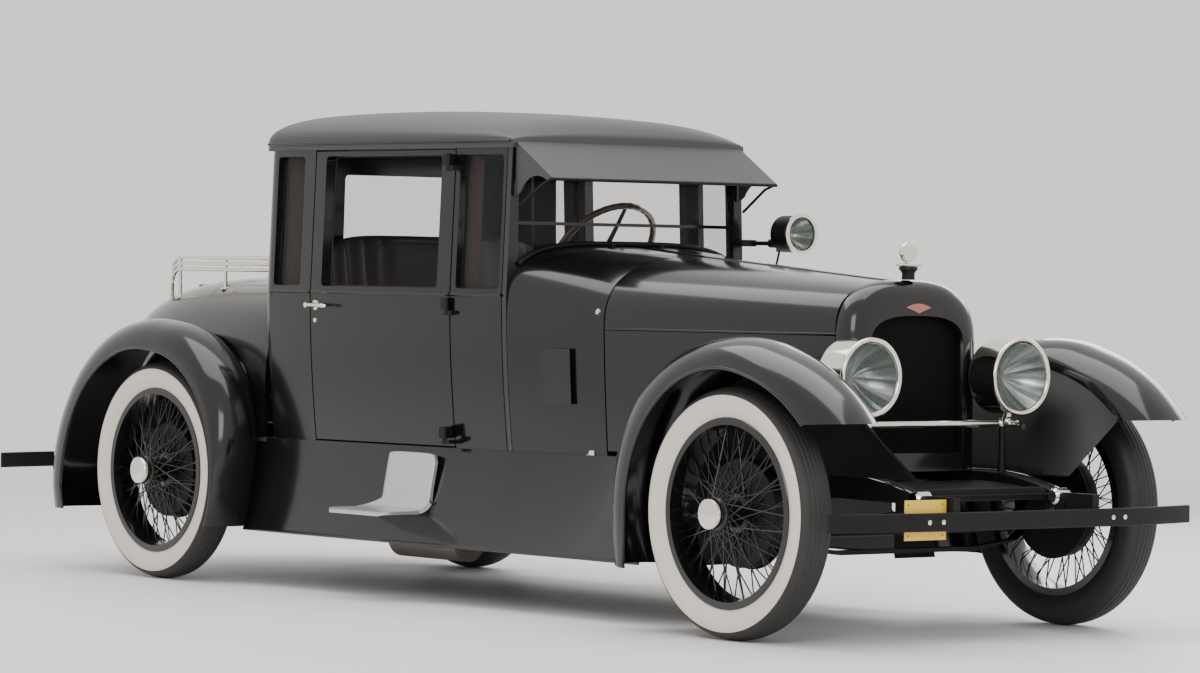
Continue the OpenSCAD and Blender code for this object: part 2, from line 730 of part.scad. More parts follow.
function front_lip_r(a) = axle_z + 64 + 55 * pow(unit((75 - a) / 45), 1.5)
    + 40 * pow(unit((a - 180) / 22), 2);
function front_crown_r(a) = axle_z + 159 + 65 * pow(unit((72 - a) / 45), 1.5)
    + 46 * pow(unit((a - 95) / 45), 1.5);
wing_vs = [-1, -0.97, -0.88, -0.72, -0.5, -0.25, 0, 0.25, 0.5, 0.72, 0.88, 0.97, 1];

// Point on the front wing: u runs from the front cut to the back edge, v from the outer lip inwards
function front_wing_point(u, v, inset) = let (
    width = front_wing_w / 2 - inset,
    r35 = mix(front_lip_r(35), front_crown_r(35), dome(v, 2.2)) - inset,
    r195 = mix(front_lip_r(195), front_crown_r(195), dome(v, 2.2)) - inset,
    a = mix(asin((front_wing_cut - axle_z) / r35), 180 + asin((axle_z - wing_low) / r195), u),
    r = mix(front_lip_r(a), front_crown_r(a), dome(v, 2.2)) - inset)
    [r * cos(a), wing_out - inset - (1 + v) * width, axle_z + r * sin(a)];

function front_wing_line(u, inset) = let (
    line = [for (v = wing_vs) front_wing_point(u, v, inset)], end = line[len(line) - 1],
    foot_z = min(end[2], frame_top - 2 - inset))
    concat(line, [[end[0], frame_y(end[0]) + seat_gap + 0.1, foot_z]]);

module front_wings() {
    color("#101112") at_front() both_sides()
        loft([for (u = spread(0, 1, 20)) concat(front_wing_line(u, 0), flip(front_wing_line(u, sheet)))]);
}

function rear_lip_r(a) = axle_z + 50 + 150 * pow(unit((a - 88) / 100), 1.25);
function rear_crown_r(a) = axle_z + 76 + 76 * pow(unit(a / 40), 0.8)
    + 172 * pow(unit((a - 85) / 95), 1.3);
rear_vs = [-1, -0.97, -0.88, -0.7, -0.45, -0.2, 0, 0.25, 0.5, 0.75, 1];

function rear_r(a, v) = v < 0 ? mix(rear_lip_r(a), rear_crown_r(a), dome(v, 2.2))
    : rear_crown_r(a) - 30 * v * v;
function rear_wing_point(u, v, inset) = let (
    a0 = -asin((axle_z - wing_low) / (rear_r(-20, v) - inset)),
    a1 = 180 + asin((axle_z - wing_low - 20) / (rear_r(195, v) - inset)),
    a = mix(a0, a1, u), r = rear_r(a, v) - inset, x = r * cos(a) - wheelbase,
    inner = deck_y(x) + 0.5 + 2 * unit((deck_knee - x) / 700),
    mid = wing_out - front_wing_w / 2 + 12)
    [x, v < 0 ? mix(mid, wing_out - inset, -v) : mix(mid, inner, v), axle_z + r * sin(a)];

function rear_wing_line(u, inset) = [for (v = rear_vs) rear_wing_point(u, v, inset)];

module rear_wings() {
    color("#101112") at_front() both_sides()
        loft([for (u = spread(0, 1, 22)) concat(rear_wing_line(u, 0), flip(rear_wing_line(u, sheet)))]);
}

// Radiator and lamps -------------------------------------------------------------------------

shell_low = frame_top + seat_gap;
rad_rings = [[rad_back, 288, 1157], [-5, 286, 1161], [18, 270, 1146], [36, 240, 1108],
    [rad_front, 218, 1072]];
opening_w = 200;
opening_top = 1039;
opening_low = 590;

function arch_ring(x, w, top, low) = let (half = concat([[x, w, low], [x, w, 800]],
    [for (a = crown_angles) [x, w * pow(cos(a), 0.7), 940 + (top - 940) * pow(sin(a), 0.7)]]))
    concat(half, [for (p = flip(half)) if (p[1] > tiny) [p[0], -p[1], p[2]]]);
function arch_base(ring, low) = let (n = len(ring) - 1, w = ring[0][1] - 3)
    [for (i = [0:n]) [ring[0][0], mix(-w, w, i / n), low]];

module radiator_shell() {
    hole = arch_ring(0, opening_w, opening_top, opening_low);
    color("#8d8d8c") at_front() difference() {
        loft([for (r = rad_rings) let (ring = arch_ring(r[0], r[1], r[2], shell_low + 1))
            concat(ring, arch_base(ring, shell_low))]);
        translate([rad_back - 5, 0, 0]) rotate([90, 0, 90]) linear_extrude(rad_front - rad_back + 10)
            polygon([for (p = hole) [p[1], p[2]]]);
    }
}

module radiator_core() {
    ring = arch_ring(0, opening_w - seat_gap, opening_top - seat_gap, opening_low + seat_gap);
    color("#26272a") at_front() translate([rad_back + 2, 0, 0]) rotate([90, 0, 90]) linear_extrude(44)
        polygon([for (p = ring) [p[1], p[2]]]);
}

module radiator_cap() {
    z = rad_rings[1][2] + seat_gap;
    color("#c9c7c0") at_front() translate([-6, 0, z]) {
        cylinder(r = 22, h = 34);
        translate([0, 0, 30]) cylinder(r = 32, h = 12);
        translate([-8, -58, 42 - tiny]) cube([16, 116, 10]);
        translate([0, 0, 42]) cylinder(r = 7, h = 24);
        translate([-9, 0, 92]) rotate([0, 90, 0]) cylinder(r = 35, h = 18);
    }
}

lamp = [200, 331, 845];
lamp_r = 125;
lens_r = 112;
lamp_depth = 122;
lamp_cap = 52;

module lamp_shell(r, depth, cap, lens) {
    cap_r = (r * r + cap * cap) / (2 * cap);
    rotate([0, 90, 0]) rotate_extrude() difference() {
        union() {
            translate([0, -depth]) square([r, depth]);
            translate([0, -14]) square([r + 9, 14]);
            intersection() {
                translate([0, cap_r - depth - cap]) circle(r = cap_r);
                translate([0, -depth - cap]) square([r, cap + 1]);
            }
        }
        translate([0, -depth + 10]) square([lens, depth]);
    }
}

module headlights() {
    color("#c9c7c0") at_front() both_sides() translate(lamp)
        lamp_shell(lamp_r, lamp_depth, lamp_cap, lens_r);
}

module headlight_lenses() {
    color("#c4ccd0", 0.5) at_front() {
        both_sides() translate(lamp) translate([-8, 0, 0]) rotate([0, 90, 0])
            cylinder(r = lens_r - seat_gap, h = 6);
        translate(spot) translate([-6, 0, 0]) rotate([0, 90, 0]) cylinder(r = spot_lens_r - seat_gap, h = 5);
    }
}

bar_x = 130;
bar_z = 690;

module headlight_bar() {
    foot_y = frame_y(bar_x) - rail_w / 2;
    color("#c9c7c0") at_front() {
        translate([bar_x, -lamp[1] - 40, bar_z]) rotate([-90, 0, 0])
            cylinder(r = 13, h = 2 * lamp[1] + 80);
        both_sides() {
            translate([bar_x, foot_y, frame_top + seat_gap]) cylinder(r = 12, h = bar_z - frame_top);
            translate([bar_x, lamp[1], bar_z]) cylinder(r = 15, h = lamp[2] - lamp_r - bar_z - seat_gap);
        }
    }
}

spot = [post_x + 260, post_half_w + 55, 1318];
spot_r = 66;
spot_lens_r = 60;
spot_depth = 96;

module spotlight() {
    arm_z = spot[2] - 34;
    arm_x = spot[0] - spot_depth - 12;
    post_y = side_y(post_x - post_depth / 2, arm_z - 12) + seat_gap;
    color("#17181a") at_front() {
        translate(spot) lamp_shell(spot_r, spot_depth, 24, spot_lens_r);
        translate([post_x - post_depth / 2, spot[1], arm_z]) rotate([0, 90, 0])
            cylinder(r = 8, h = arm_x - post_x + post_depth / 2 + 24);
        translate([post_x - post_depth / 2 - 10, post_y, arm_z - 12])
            cube([20, spot[1] - post_y + 8, 24]);
    }
}

// Bumpers ------------------------------------------------------------------------------------

function bumper_back(y) = 67 * pow(unit((abs(y) - 300) / 491), 2);

module bumper_bar(face, dir) {
    ys = spread(-791, 791, 20);
    half = bumper_h / 2;
    loft([for (y = ys) let (x = face - dir * bumper_back(y), back = x - dir * bumper_t)
        [[x, y, bumper_z - half], [x, y, bumper_z + half],
        [back, y, bumper_z + half], [back, y, bumper_z - half]]]);
}

bumper_arm_y = 305;

module front_bumper() {
    back = front_overhang - bumper_t;
    color("#16171a") at_front() {
        bumper_bar(front_overhang, 1);
        both_sides() translate([frame_front + seat_gap, bumper_arm_y - 15, bumper_z - 25])
            cube([back - frame_front - seat_gap + tiny, 30, 100]);
    }
}

module rear_bumper() {
    face = -wheelbase - rear_overhang;
    end = frame_end - seat_gap;
    color("#16171a") at_front() {
        bumper_bar(face, -1);
        both_sides() translate([face + bumper_t - tiny, frame_y(-2000) - 45, bumper_z - 25])
            cube([end - face - bumper_t + tiny, 30, 100]);
    }
}

plate_size = [3, 175, 127];
plate_x = 548;
plate_y = -500;
plate_z = 342;
plate_hole_r = 3.5;
plate_hole_dx = 145;
plate_hole_dz = 97;

module licence_plate() {
    mid = [plate_x, plate_y + plate_size[1] / 2, plate_z + plate_size[2] / 2];
    color("#e0a426") at_front() {
        difference() {
            translate([plate_x, plate_y, plate_z]) cube(plate_size);
            for (sy = [-1, 1], sz = [-1, 1]) translate([mid[0] - 1, mid[1] + sy * plate_hole_dx / 2,
                mid[2] + sz * plate_hole_dz / 2]) rotate([0, 90, 0]) cylinder(r = plate_hole_r, h = 6);
        }
        for (y = [-35, 35]) translate([plate_x + plate_size[0] - tiny, mid[1] + y, bumper_z])
            rotate([0, 90, 0]) cylinder(r = 6, h = front_overhang - bumper_t
                - bumper_back(mid[1] + y) - plate_x - plate_size[0] - 1);
    }
}

// Moving panels ------------------------------------------------------------------------------

door_zs = concat(spread(sill_z + shut_gap, belt_z, 4), spread(belt_z + 120, cant_z - shut_gap, 3));
door_window = [door_front - 70, door_rear + 62];

module door_shape() {
    xs = spread(door_front - shut_gap / 2, door_rear + shut_gap / 2, 6);
    difference() {
        wall_panel(xs, door_zs, side, -wall, 0, 14);
        side_opening(door_window);
    }
    for (z = hinge_zs) {
        translate([hinge_x, hinge_y, z - 22]) cylinder(r = barrel_r, h = 44);
        translate([hinge_x - 30, side_y(hinge_x - 30, z) - 8, z - 8])
            cube([22, hinge_y - side_y(hinge_x - 30, z) + 12, 16]);
        translate([hinge_x - 30, hinge_y - 6, z - 8]) cube([30, 10, 16]);
    }
    translate([door_rear + 20, side_y(door_rear + 30, 1038) - 2, 1030]) cube([24, 44, 14]);
    translate([door_rear + 20, side_y(door_rear + 30, 1038) + 30, 1030]) cube([110, 14, 14]);
}

module left_door() { color("#0b0b0c") at_front() door_shape(); }
module right_door() { color("#0b0b0c") at_front() mirror([0, 1, 0]) door_shape(); }

hood_low = 561;
hood_xs = spread(hood_front - seat_gap, seam_x + shut_gap, 4);
hood_rod_r = 7.5;
hood_edge_y = 8;
side_hinge_r = 5.4;

// Places its children's +Z along a straight line from point a towards point b
module along(a, b) {
    d = b - a;
    translate(a) rotate([0, acos(d[2] / norm(d)), atan2(d[1], d[0])]) children();
}

module hood_hinge() {
    front = [rad_back - 1, 0, crown_z(hood_front) - hood_sheet / 2];
    back = [seam_x + 1, 0, hood_top - hood_sheet / 2];
    color("#141516") at_front() along(back, front) cylinder(r = hood_rod_r, h = norm(front - back));
}

module hood_top_shape() {
    function line(x, inset) = concat([for (a = [0, 6, 16, 28, 40, 52, 64, 76]) crown_point(x, a, inset)],
        [[x, hood_edge_y, crown_z(x) - inset]]);
    low = hood_split_z + 2;
    loft([for (x = hood_xs) concat([for (p = line(x, 0)) [x, p[1], max(p[2], low)]],
        [for (p = flip(line(x, hood_sheet))) [x, p[1], max(p[2], low)]])]);
    ends = [for (x = [seam_x + shut_gap, hood_front - seat_gap])
        [x, side_y(x, hood_split_z) - hood_sheet / 2, hood_split_z]];
    along(ends[0], ends[1]) cylinder(r = side_hinge_r, h = norm(ends[1] - ends[0]));
}

module hood_side_shape() {
    zs = spread(hood_low, hood_split_z - 6, 4);
    wall_panel(hood_xs, zs, side, -hood_sheet, 0);
}

module hood_top_left() { color("#0b0b0c") at_front() hood_top_shape(); }
module hood_top_right() { color("#0b0b0c") at_front() mirror([0, 1, 0]) hood_top_shape(); }
module hood_side_left() { color("#0b0b0c") at_front() hood_side_shape(); }
module hood_side_right() { color("#0b0b0c") at_front() mirror([0, 1, 0]) hood_side_shape(); }

// Steering -----------------------------------------------------------------------------------

arm_x = -160;
arm_z = axle_z - 72;
ear_in = boss_half + 5;
tie_pin_r = 8;
tie_z = arm_z - 14;

module knuckle() {
    translate([0, kingpin_y, axle_z - 72]) cylinder(r = kingpin_r, h = 144);
    for (z = [ear_in, -72]) translate([-24, kingpin_y - 24, axle_z + z]) cube([48, 64, 72 - ear_in]);
    translate([-24, kingpin_y + 29, axle_z - 72]) cube([48, 11, 144]);
    backing_plate_and_spindle();
    translate([arm_x - 14, kingpin_y - 14, arm_z]) cube([-arm_x + 10, 26, 20 - tiny]);
    translate([arm_x, kingpin_y, arm_z - 36]) cylinder(r = tie_pin_r, h = 40);
}

module left_knuckle() { color("#1b1c1d") at_front() knuckle(); }
module right_knuckle() { color("#1b1c1d") at_front() mirror([0, 1, 0]) knuckle(); }

module tie_rod() {
    eye_r = 17;
    color("#232425") at_front() translate([arm_x, 0, tie_z]) difference() {
        union() {
            translate([0, -kingpin_y, 0]) rotate([-90, 0, 0]) cylinder(r = 9, h = 2 * kingpin_y);
            both_sides() translate([0, kingpin_y, -10]) cylinder(r = eye_r, h = 20);
        }
        translate([0, kingpin_y, -20]) cylinder(r = tie_pin_r + hub_clearance, h = 40);
        translate([0, -kingpin_y, -20]) cylinder(r = tie_pin_r + 1, h = 40);
    }
}

// Wheels -------------------------------------------------------------------------------------

seat_r = rim_r - 15;
spoke_r = 4.5;

// Puts its children's +Z along the outboard axis of a wheel
module at_wheel(x, s) { translate([x, s * wheel_y, axle_z]) rotate([-90 * s, 0, 0]) children(); }

module tyre() {
    mid_r = (axle_z + rim_r) / 2;
    rise = axle_z - mid_r;
    half = tyre_w / 2;
    steps = 14;
    bead = rim_w / 2 - 6;
    rotate_extrude($fn = 120) polygon(concat(
        [[seat_r + seat_gap, -bead], [rim_r + 2, -bead]],
        [for (i = [0:steps]) let (a = mix(-70, 70, i / steps))
            [mid_r + rise * pow(unit(cos(a * 90 / 70) + tiny), 0.62), half * sin(a * 90 / 70)]],
        [[rim_r + 2, bead], [seat_r + seat_gap, bead]]));
}

module wire_wheel() {
    lip = rim_w / 2;
    rotate_extrude($fn = 120) polygon([[seat_r - 10, -lip], [rim_r, -lip], [rim_r, -lip + 5],
        [seat_r, -lip + 5], [seat_r, lip - 5], [rim_r, lip - 5], [rim_r, lip], [seat_r - 10, lip]]);
    difference() {
        union() {
            translate([0, 0, -4]) cylinder(r = 46, h = 122);
            translate([0, 0, -48]) cylinder(r = drum_r, h = 46);
            translate([0, 0, 112]) cylinder(r = 52, h = 18);
        }
        translate([0, 0, -49]) cylinder(r = drum_r - 8, h = 41);
        translate([0, 0, -49]) cylinder(r = spindle_r + hub_clearance, h = 49 + spindle_end + 3);
    }
    for (i = [0:spokes - 1]) rotate([0, 0, i * 360 / spokes]) spoke(i % 2 == 0 ? 14 : 84);
}

module spoke(hub_z) {
    start = 40;
    end = seat_r - 5;
    tilt = atan2(-hub_z, end - start);
    translate([start, 0, hub_z]) rotate([0, 90 - tilt, 0])
        cylinder(r = spoke_r, h = norm([end - start, hub_z]), $fn = 24);
}

module front_left_tyre() { color("#1d1c1a") at_wheel(front_x, 1) tyre(); }
module front_right_tyre() { color("#1d1c1a") at_wheel(front_x, -1) tyre(); }
module rear_left_tyre() { color("#1d1c1a") at_wheel(rear_x, 1) tyre(); }
module rear_right_tyre() { color("#1d1c1a") at_wheel(rear_x, -1) tyre(); }
module front_left_wheel() { color("#141414") at_wheel(front_x, 1) wire_wheel(); }
module front_right_wheel() { color("#141414") at_wheel(front_x, -1) wire_wheel(); }
module rear_left_wheel() { color("#141414") at_wheel(rear_x, 1) wire_wheel(); }
module rear_right_wheel() { color("#141414") at_wheel(rear_x, -1) wire_wheel(); }

frame();
front_axle();
rear_axle();
leaf_springs();
engine_block();
drive_shaft();
exhaust();
fuel_tank();
floor();
firewall();
cowl();
windscreen_frame();
window_glass();
body_sides();
cab_back();
roof();
sun_visor();
dashboard();
seat_box();
seat_cushion();
seat_back();
steering_column();
steering_wheel();
rear_deck();
deck_lid();
luggage_rack();
splash_aprons();
steps();
front_wings();
rear_wings();
radiator_shell();
radiator_core();
radiator_cap();
headlights();
headlight_lenses();
headlight_bar();
spotlight();
front_bumper();
rear_bumper();
licence_plate();
left_door();
right_door();
hood_hinge();
hood_top_left();
hood_top_right();
hood_side_left();
hood_side_right();
left_knuckle();
right_knuckle();
tie_rod();
front_left_tyre();
front_right_tyre();
rear_left_tyre();
rear_right_tyre();
front_left_wheel();
front_right_wheel();
rear_left_wheel();
rear_right_wheel();
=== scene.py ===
"""A closed two-seat car of the 1920s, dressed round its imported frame.

Lengths are metres. Body functions take x from the front axle; `place` moves a finished
shape into the frame, whose origin is on the ground under the middle of the car.
"""
import math

import bmesh
import bpy
import numpy as np
from mathutils import Matrix, Vector


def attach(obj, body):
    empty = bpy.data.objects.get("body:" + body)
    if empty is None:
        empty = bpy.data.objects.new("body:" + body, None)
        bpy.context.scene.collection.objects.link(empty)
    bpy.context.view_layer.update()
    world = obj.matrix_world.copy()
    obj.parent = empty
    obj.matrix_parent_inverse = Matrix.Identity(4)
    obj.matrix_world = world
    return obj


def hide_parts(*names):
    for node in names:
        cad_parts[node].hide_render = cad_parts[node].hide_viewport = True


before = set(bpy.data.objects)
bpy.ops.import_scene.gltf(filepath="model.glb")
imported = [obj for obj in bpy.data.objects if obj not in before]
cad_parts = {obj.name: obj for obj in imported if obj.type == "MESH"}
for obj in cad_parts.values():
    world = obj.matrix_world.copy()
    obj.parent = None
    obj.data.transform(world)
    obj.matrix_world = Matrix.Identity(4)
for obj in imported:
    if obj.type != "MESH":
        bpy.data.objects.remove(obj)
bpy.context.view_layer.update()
BODY = "car_body"
SIDES = (("left", 1), ("right", -1))
ALONG_X, ALONG_Y, ALONG_Z = (1, 0, 0), (0, 1, 0), (0, 0, 1)

# Driving dimensions -------------------------------------------------------------------------
WHEELBASE, TRACK = 3.353, 1.440
FRONT_X = 1.955
REAR_X = FRONT_X - WHEELBASE
AXLE_Z = 0.4065
HOOD_FRONT, SEAM_X, POST_X = -0.040, -1.060, -1.490
DOOR_FRONT, DOOR_REAR, CAB_REAR = -1.772, -2.540, -2.850
HOOD_LEN, COWL_LEN = HOOD_FRONT - SEAM_X, SEAM_X - POST_X
FRONT_HALF, SEAM_HALF, POST_HALF, CAB_HALF = 0.285, 0.445, 0.535, 0.640
FRONT_TOP, SEAM_TOP, POST_TOP = 1.152, 1.229, 1.266
CORNER_R, WALL, SHEET, GAP = 0.060, 0.040, 0.006, 0.003
SEAT = 0.0003  # air left under a piece that seats on another
FLOOR_TOP, SILL, BELT, CANT, DRIP = 0.5453, 0.5456, 1.080, 1.600, 1.628
SPLIT_Z = 0.980
ROOF_RISE, ROOF_NOSE, ROOF_TAIL, ROOF_SIDE = 0.127, 0.170, 0.030, 0.010
WINDOW = (1.108, 1.577)
BACK_FLAT = 0.8  # share of the cab's back between its round corners
LINING_SIDES = (-0.044, -0.0405)  # both sides of a wall's lining, in from the outside
LINING_SHOWS = 0.004  # how far a lining stands into its window
HINGE_HEIGHTS = (0.600, 1.053, 1.560)
BEAD_Z, BEAD_R = BELT + 0.006, 0.006
HOOD_SPAN = (HOOD_FRONT - SEAT, SEAM_X + 0.006)
DECK_START, DECK_KNEE, DECK_END, DECK_TOP = -2.8503, -3.293, -4.250, 1.135
LID_X, LID_HALF, LID_LOW, LID_GAP = -3.863, 0.300, 0.640, 0.005
LID_AXIS_Z, LID_HANDLE_Z = 1.0947, 0.690
WING_OUT, WING_W, WING_CUT, WING_LOW = 0.820, 0.270, 0.705, 0.215
APRON_FRONT, APRON_REAR, APRON_LOW = -0.640, CAB_REAR - 0.085, 0.205
STEP_X, STEP_TOP, STEP_OUT = -1.98, 0.322, 0.800
RIM_R, TYRE_HALF = 0.307, 0.066
HORN_X, HORN_END = 0.050, 0.400  # where the frame rails begin to curve down, and where they end
RAIL_TOP, RAIL_LOW, RAIL_W, HORN_DROP = 0.530, 0.450, 0.0598, 0.052
SPRING_Y = 0.305  # front springs, lamp posts and bumper arms stand in this line
LAMP = (0.200, 0.331, 0.845)
LAMP_BAR_X, LAMP_BAR_Z, LAMP_BAR_HALF = 0.130, 0.690, 0.371
SPOT = (-1.230, 0.590, 1.318)
BUMPER_Z, BUMPER_HALF = 0.400, 0.791
RACK_FRONT, RACK_REAR, RACK_HALF, RACK_TOP = CAB_REAR - 0.250, CAB_REAR - 0.880, 0.420, 1.205
COLUMN_TILT = math.radians(40)
WHEEL_HUB = (-2.072, 0.350, 1.257)


# Small maths --------------------------------------------------------------------------------
def mix(a, b, t):
    """Straight line from a (t = 0) to b (t = 1)."""
    return a + (b - a) * t


def clamp(t):
    """t held between 0 and 1."""
    return np.clip(t, 0, 1)


def dome(t, n):
    """Height of a unit superellipse of power n at offset t: (1 - |t|^n)^(1/n)."""
    return np.maximum(0, 1 - np.minimum(1, np.abs(t)) ** n) ** (1 / n)


def grid(x, y, z):
    """Stacks three arrays that broadcast together into points of shape (..., 3)."""
    return np.stack(np.broadcast_arrays(x, y, z), -1).astype(float)


def column(values):
    """Values as a column, to run down a grid's first axis."""
    return np.asarray(values, float)[:, None]


# Meshes -------------------------------------------------------------------------------------
def quads(points, wrap_u=False, wrap_v=False):
    """Points (m, n, 3) and the quads between neighbours, wrapped round where asked."""
    m, n = points.shape[:2]
    index = np.arange(m * n).reshape(m, n)
    if wrap_u:
        index = np.vstack([index, index[:1]])
    if wrap_v:
        index = np.hstack([index, index[:, :1]])
    faces = np.stack([index[:-1, :-1], index[1:, :-1], index[1:, 1:], index[:-1, 1:]], -1)
    return points.reshape(-1, 3), faces.reshape(-1, 4)


def joined(parts):
    """One (points, faces) pair from many."""
    points, faces, start = [], [], 0
    for p, f in parts:
        points.append(p)
        faces.append(f + start)
        start += len(p)
    return np.vstack(points), np.vstack(faces)


def shell(outer, inner, wrap_u=False):
    """Closed wall between an outer and an inner grid of the same shape."""
    loop = np.concatenate([outer, inner[:, ::-1]], 1)
    parts = [quads(loop, wrap_u, True)]
    if not wrap_u:
        parts += [stack(outer[i], inner[i]) for i in (0, -1)]
    return joined(parts)


def frame_along(tangent):
    """Two unit directions square to each tangent, from its cross product with a fixed one."""
    tangent = tangent / np.linalg.norm(tangent, axis=1, keepdims=True)
    ref = np.eye(3)[np.argmin(np.abs(tangent).max(0))]
    side = np.cross(tangent, ref)
    side /= np.linalg.norm(side, axis=1, keepdims=True)
    return side, np.cross(tangent, side)


def tube(path, radius, sides=14, closed=False):
    """A circle of the given radius carried along a path, pinched shut at its ends."""
    path = np.asarray(path, float)
    radius = np.broadcast_to(radius, (len(path),)).astype(float)
    tangent = np.roll(path, -1, 0) - np.roll(path, 1, 0) if closed else np.gradient(path, axis=0)
    if not closed:
        path = np.vstack([path[:1], path, path[-1:]])
        radius = np.concatenate([[0], radius, [0]])
        tangent = np.vstack([tangent[:1], tangent, tangent[-1:]])
    side, up = frame_along(tangent)
    a = np.linspace(0, 2 * np.pi, sides, endpoint=False)
    ring = np.cos(a)[None, :, None] * side[:, None] + np.sin(a)[None, :, None] * up[:, None]
    return quads(path[:, None] + radius[:, None, None] * ring, closed, True)


def lathe(profile, centre, axis, sides=72):
    """A profile of (distance along the axis, radius) turned round an axis through centre."""
    profile = np.asarray(profile, float)
    axis = np.asarray(axis, float) / np.linalg.norm(axis)
    side, up = frame_along(axis[None])
    a = np.linspace(0, 2 * np.pi, sides, endpoint=False)
    ring = np.cos(a)[:, None] * side + np.sin(a)[:, None] * up
    points = np.asarray(centre, float) + profile[:, None, :1] * axis + profile[:, None, 1:] * ring
    return quads(points, False, True)


def peg(low, high, radius, centre, axis, sides):
    """A plain round bar from low to high along an axis."""
    return lathe([(low, 0), (low, radius), (high, radius), (high, 0)], centre, axis, sides)


def stack(*rows):
    """Quads over rows of points of the same length."""
    return quads(np.stack(rows))


def block(low, high):
    """A plain box between two corners."""
    x, y, z = [np.array(pair) for pair in zip(low, high)]
    loop = grid(column(x), y[[0, 1, 1, 0]], z[[0, 0, 1, 1]])
    ends = [np.array([[loop[i, 0], loop[i, 1]], [loop[i, 3], loop[i, 2]]]) for i in (0, 1)]
    return joined([quads(loop, False, True)] + [quads(end) for end in ends])


def both(part):
    """The part and its mirror image across the middle of the car."""
    points, faces = part
    return joined([part, (points * [1, -1, 1], faces[:, ::-1])])


def place(part, turned=1):
    """Moves a shape from the front axle's x to the frame's, mirrored when turned is -1."""
    points, faces = part
    return points * [1, turned, 1] + [FRONT_X, 0, 0], faces


def placed_object(name, data):
    """A new object in the scene, at the origin."""
    made = bpy.data.objects.new(name, data)
    bpy.context.scene.collection.objects.link(made)
    return made


def closed_mesh(name, part, values=None, slivers=True):
    """A mesh with its doubles merged and its faces outwards; slivers says whether thin faces go too."""
    points, faces = part
    mesh = bpy.data.meshes.new(name)
    mesh.from_pydata(points, [], faces)
    for key, value in (values or {}).items():
        mesh.attributes.new(key, "FLOAT", "POINT").data.foreach_set("value", value.astype(np.float32))
    work = bmesh.new()
    work.from_mesh(mesh)
    bmesh.ops.remove_doubles(work, verts=work.verts, dist=2e-5)
    if slivers:
        bmesh.ops.dissolve_degenerate(work, edges=work.edges, dist=1e-6)
    bmesh.ops.recalc_face_normals(work, faces=work.faces)
    work.to_mesh(mesh)
    work.free()
    return mesh


def make(name, part, body, finish, hides=(), bevel=0.0, angle=38, values=None):
    """Builds one piece: a closed mesh with sharp edges marked, that rides a body."""
    mesh = closed_mesh(name, part, values)
    mesh.shade_smooth()
    mesh.set_sharp_from_angle(angle=math.radians(angle))
    mesh.materials.append(finish)
    piece = placed_object(name, mesh)
    if bevel:
        rounding = piece.modifiers.new("rounded", "BEVEL")
        rounding.width, rounding.segments, rounding.limit_method = bevel, 2, "ANGLE"
        rounding.harden_normals = True
    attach(piece, body)
    if hides:
        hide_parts(*hides)
    return piece


# Shader maths -------------------------------------------------------------------------------
class Term:
    """A shader socket in a sum: each operator on it adds one Math node."""

    def __init__(self, finish, socket):
        self.finish, self.socket = finish, socket

    def _math(self, operation, a, b):
        return self.finish.node("ShaderNodeMath", {"operation": operation}, {0: a, 1: b})

    def __add__(self, other):
        return self._math("ADD", self, other)

    def __mul__(self, other):
        return self._math("MULTIPLY", self, other)

    __radd__, __rmul__ = __add__, __mul__

    def over(self, other):
        """1 where the term is greater than other, else 0."""
        return self._math("GREATER_THAN", self, other)


class Finish:
    """One material: a Principled shader whose fixed numbers sit on its own sockets."""

    def __init__(self, name, colour, **sockets):
        self.material = bpy.data.materials.new(name)
        self.material.use_nodes = True
        self.nodes, self.links = self.material.node_tree.nodes, self.material.node_tree.links
        self.shader = self.nodes["Principled BSDF"]
        self.shader.inputs["Base Color"].default_value = (*colour, 1)
        for key, value in sockets.items():
            self.shader.inputs[key.replace("_", " ")].default_value = value

    def node(self, kind, settings=None, inputs=None, output=0):
        """Adds a node: settings first, then values or links for its sockets."""
        made = self.nodes.new(kind)
        for key, value in (settings or {}).items():
            setattr(made, key, value)
        for key, value in (inputs or {}).items():
            if isinstance(value, Term):
                self.links.new(value.socket, made.inputs[key])
            else:
                made.inputs[key].default_value = value
        return Term(self, made.outputs[output])

    def where(self, stretch=(1, 1, 1)):
        """Object coordinates, stretched."""
        spot = self.node("ShaderNodeTexCoord", output="Object")
        return self.node("ShaderNodeMapping", None, {"Vector": spot, "Scale": stretch})

    def noise(self, scale, detail=4.0, stretch=(1, 1, 1)):
        """Noise from 0 to 1 on object coordinates."""
        return self.node("ShaderNodeTexNoise", None,
                         {"Vector": self.where(stretch), "Scale": scale, "Detail": detail}, output="Fac")

    def feed(self, socket, term):
        """Links a term to one of the shader's sockets."""
        self.links.new(term.socket, self.shader.inputs[socket])

    def bump(self, height, strength, distance):
        """Raises the surface by a term times the distance."""
        self.feed("Normal", self.node("ShaderNodeBump", None,
                                      {"Height": height, "Strength": strength, "Distance": distance}))

    def blend(self, socket, mask, low, high):
        """Runs a socket from one colour or number to another by a mask."""
        if isinstance(low, tuple):
            mixed = self.node("ShaderNodeMix", {"data_type": "RGBA"},
                              {"Factor": mask, 6: (*low, 1), 7: (*high, 1)}, output=2)
        else:
            mixed = mask * (high - low) + low
        self.feed(socket, mixed)


def black_enamel():
    """Polished black under a clear coat, its gloss a little uneven."""
    f = Finish("black_enamel", (0.0045, 0.0046, 0.0048), Roughness=0.20, Specular_IOR_Level=0.15,
               Coat_Weight=0.75, Coat_Roughness=0.11)
    f.blend("Roughness", f.noise(3.0), 0.16, 0.26)
    return f.material


def satin_black():
    """Brushed chassis black."""
    f = Finish("satin_black", (0.0045, 0.0045, 0.0045), Roughness=0.50, Specular_IOR_Level=0.25)
    f.blend("Roughness", f.noise(9.0), 0.42, 0.60)
    return f.material


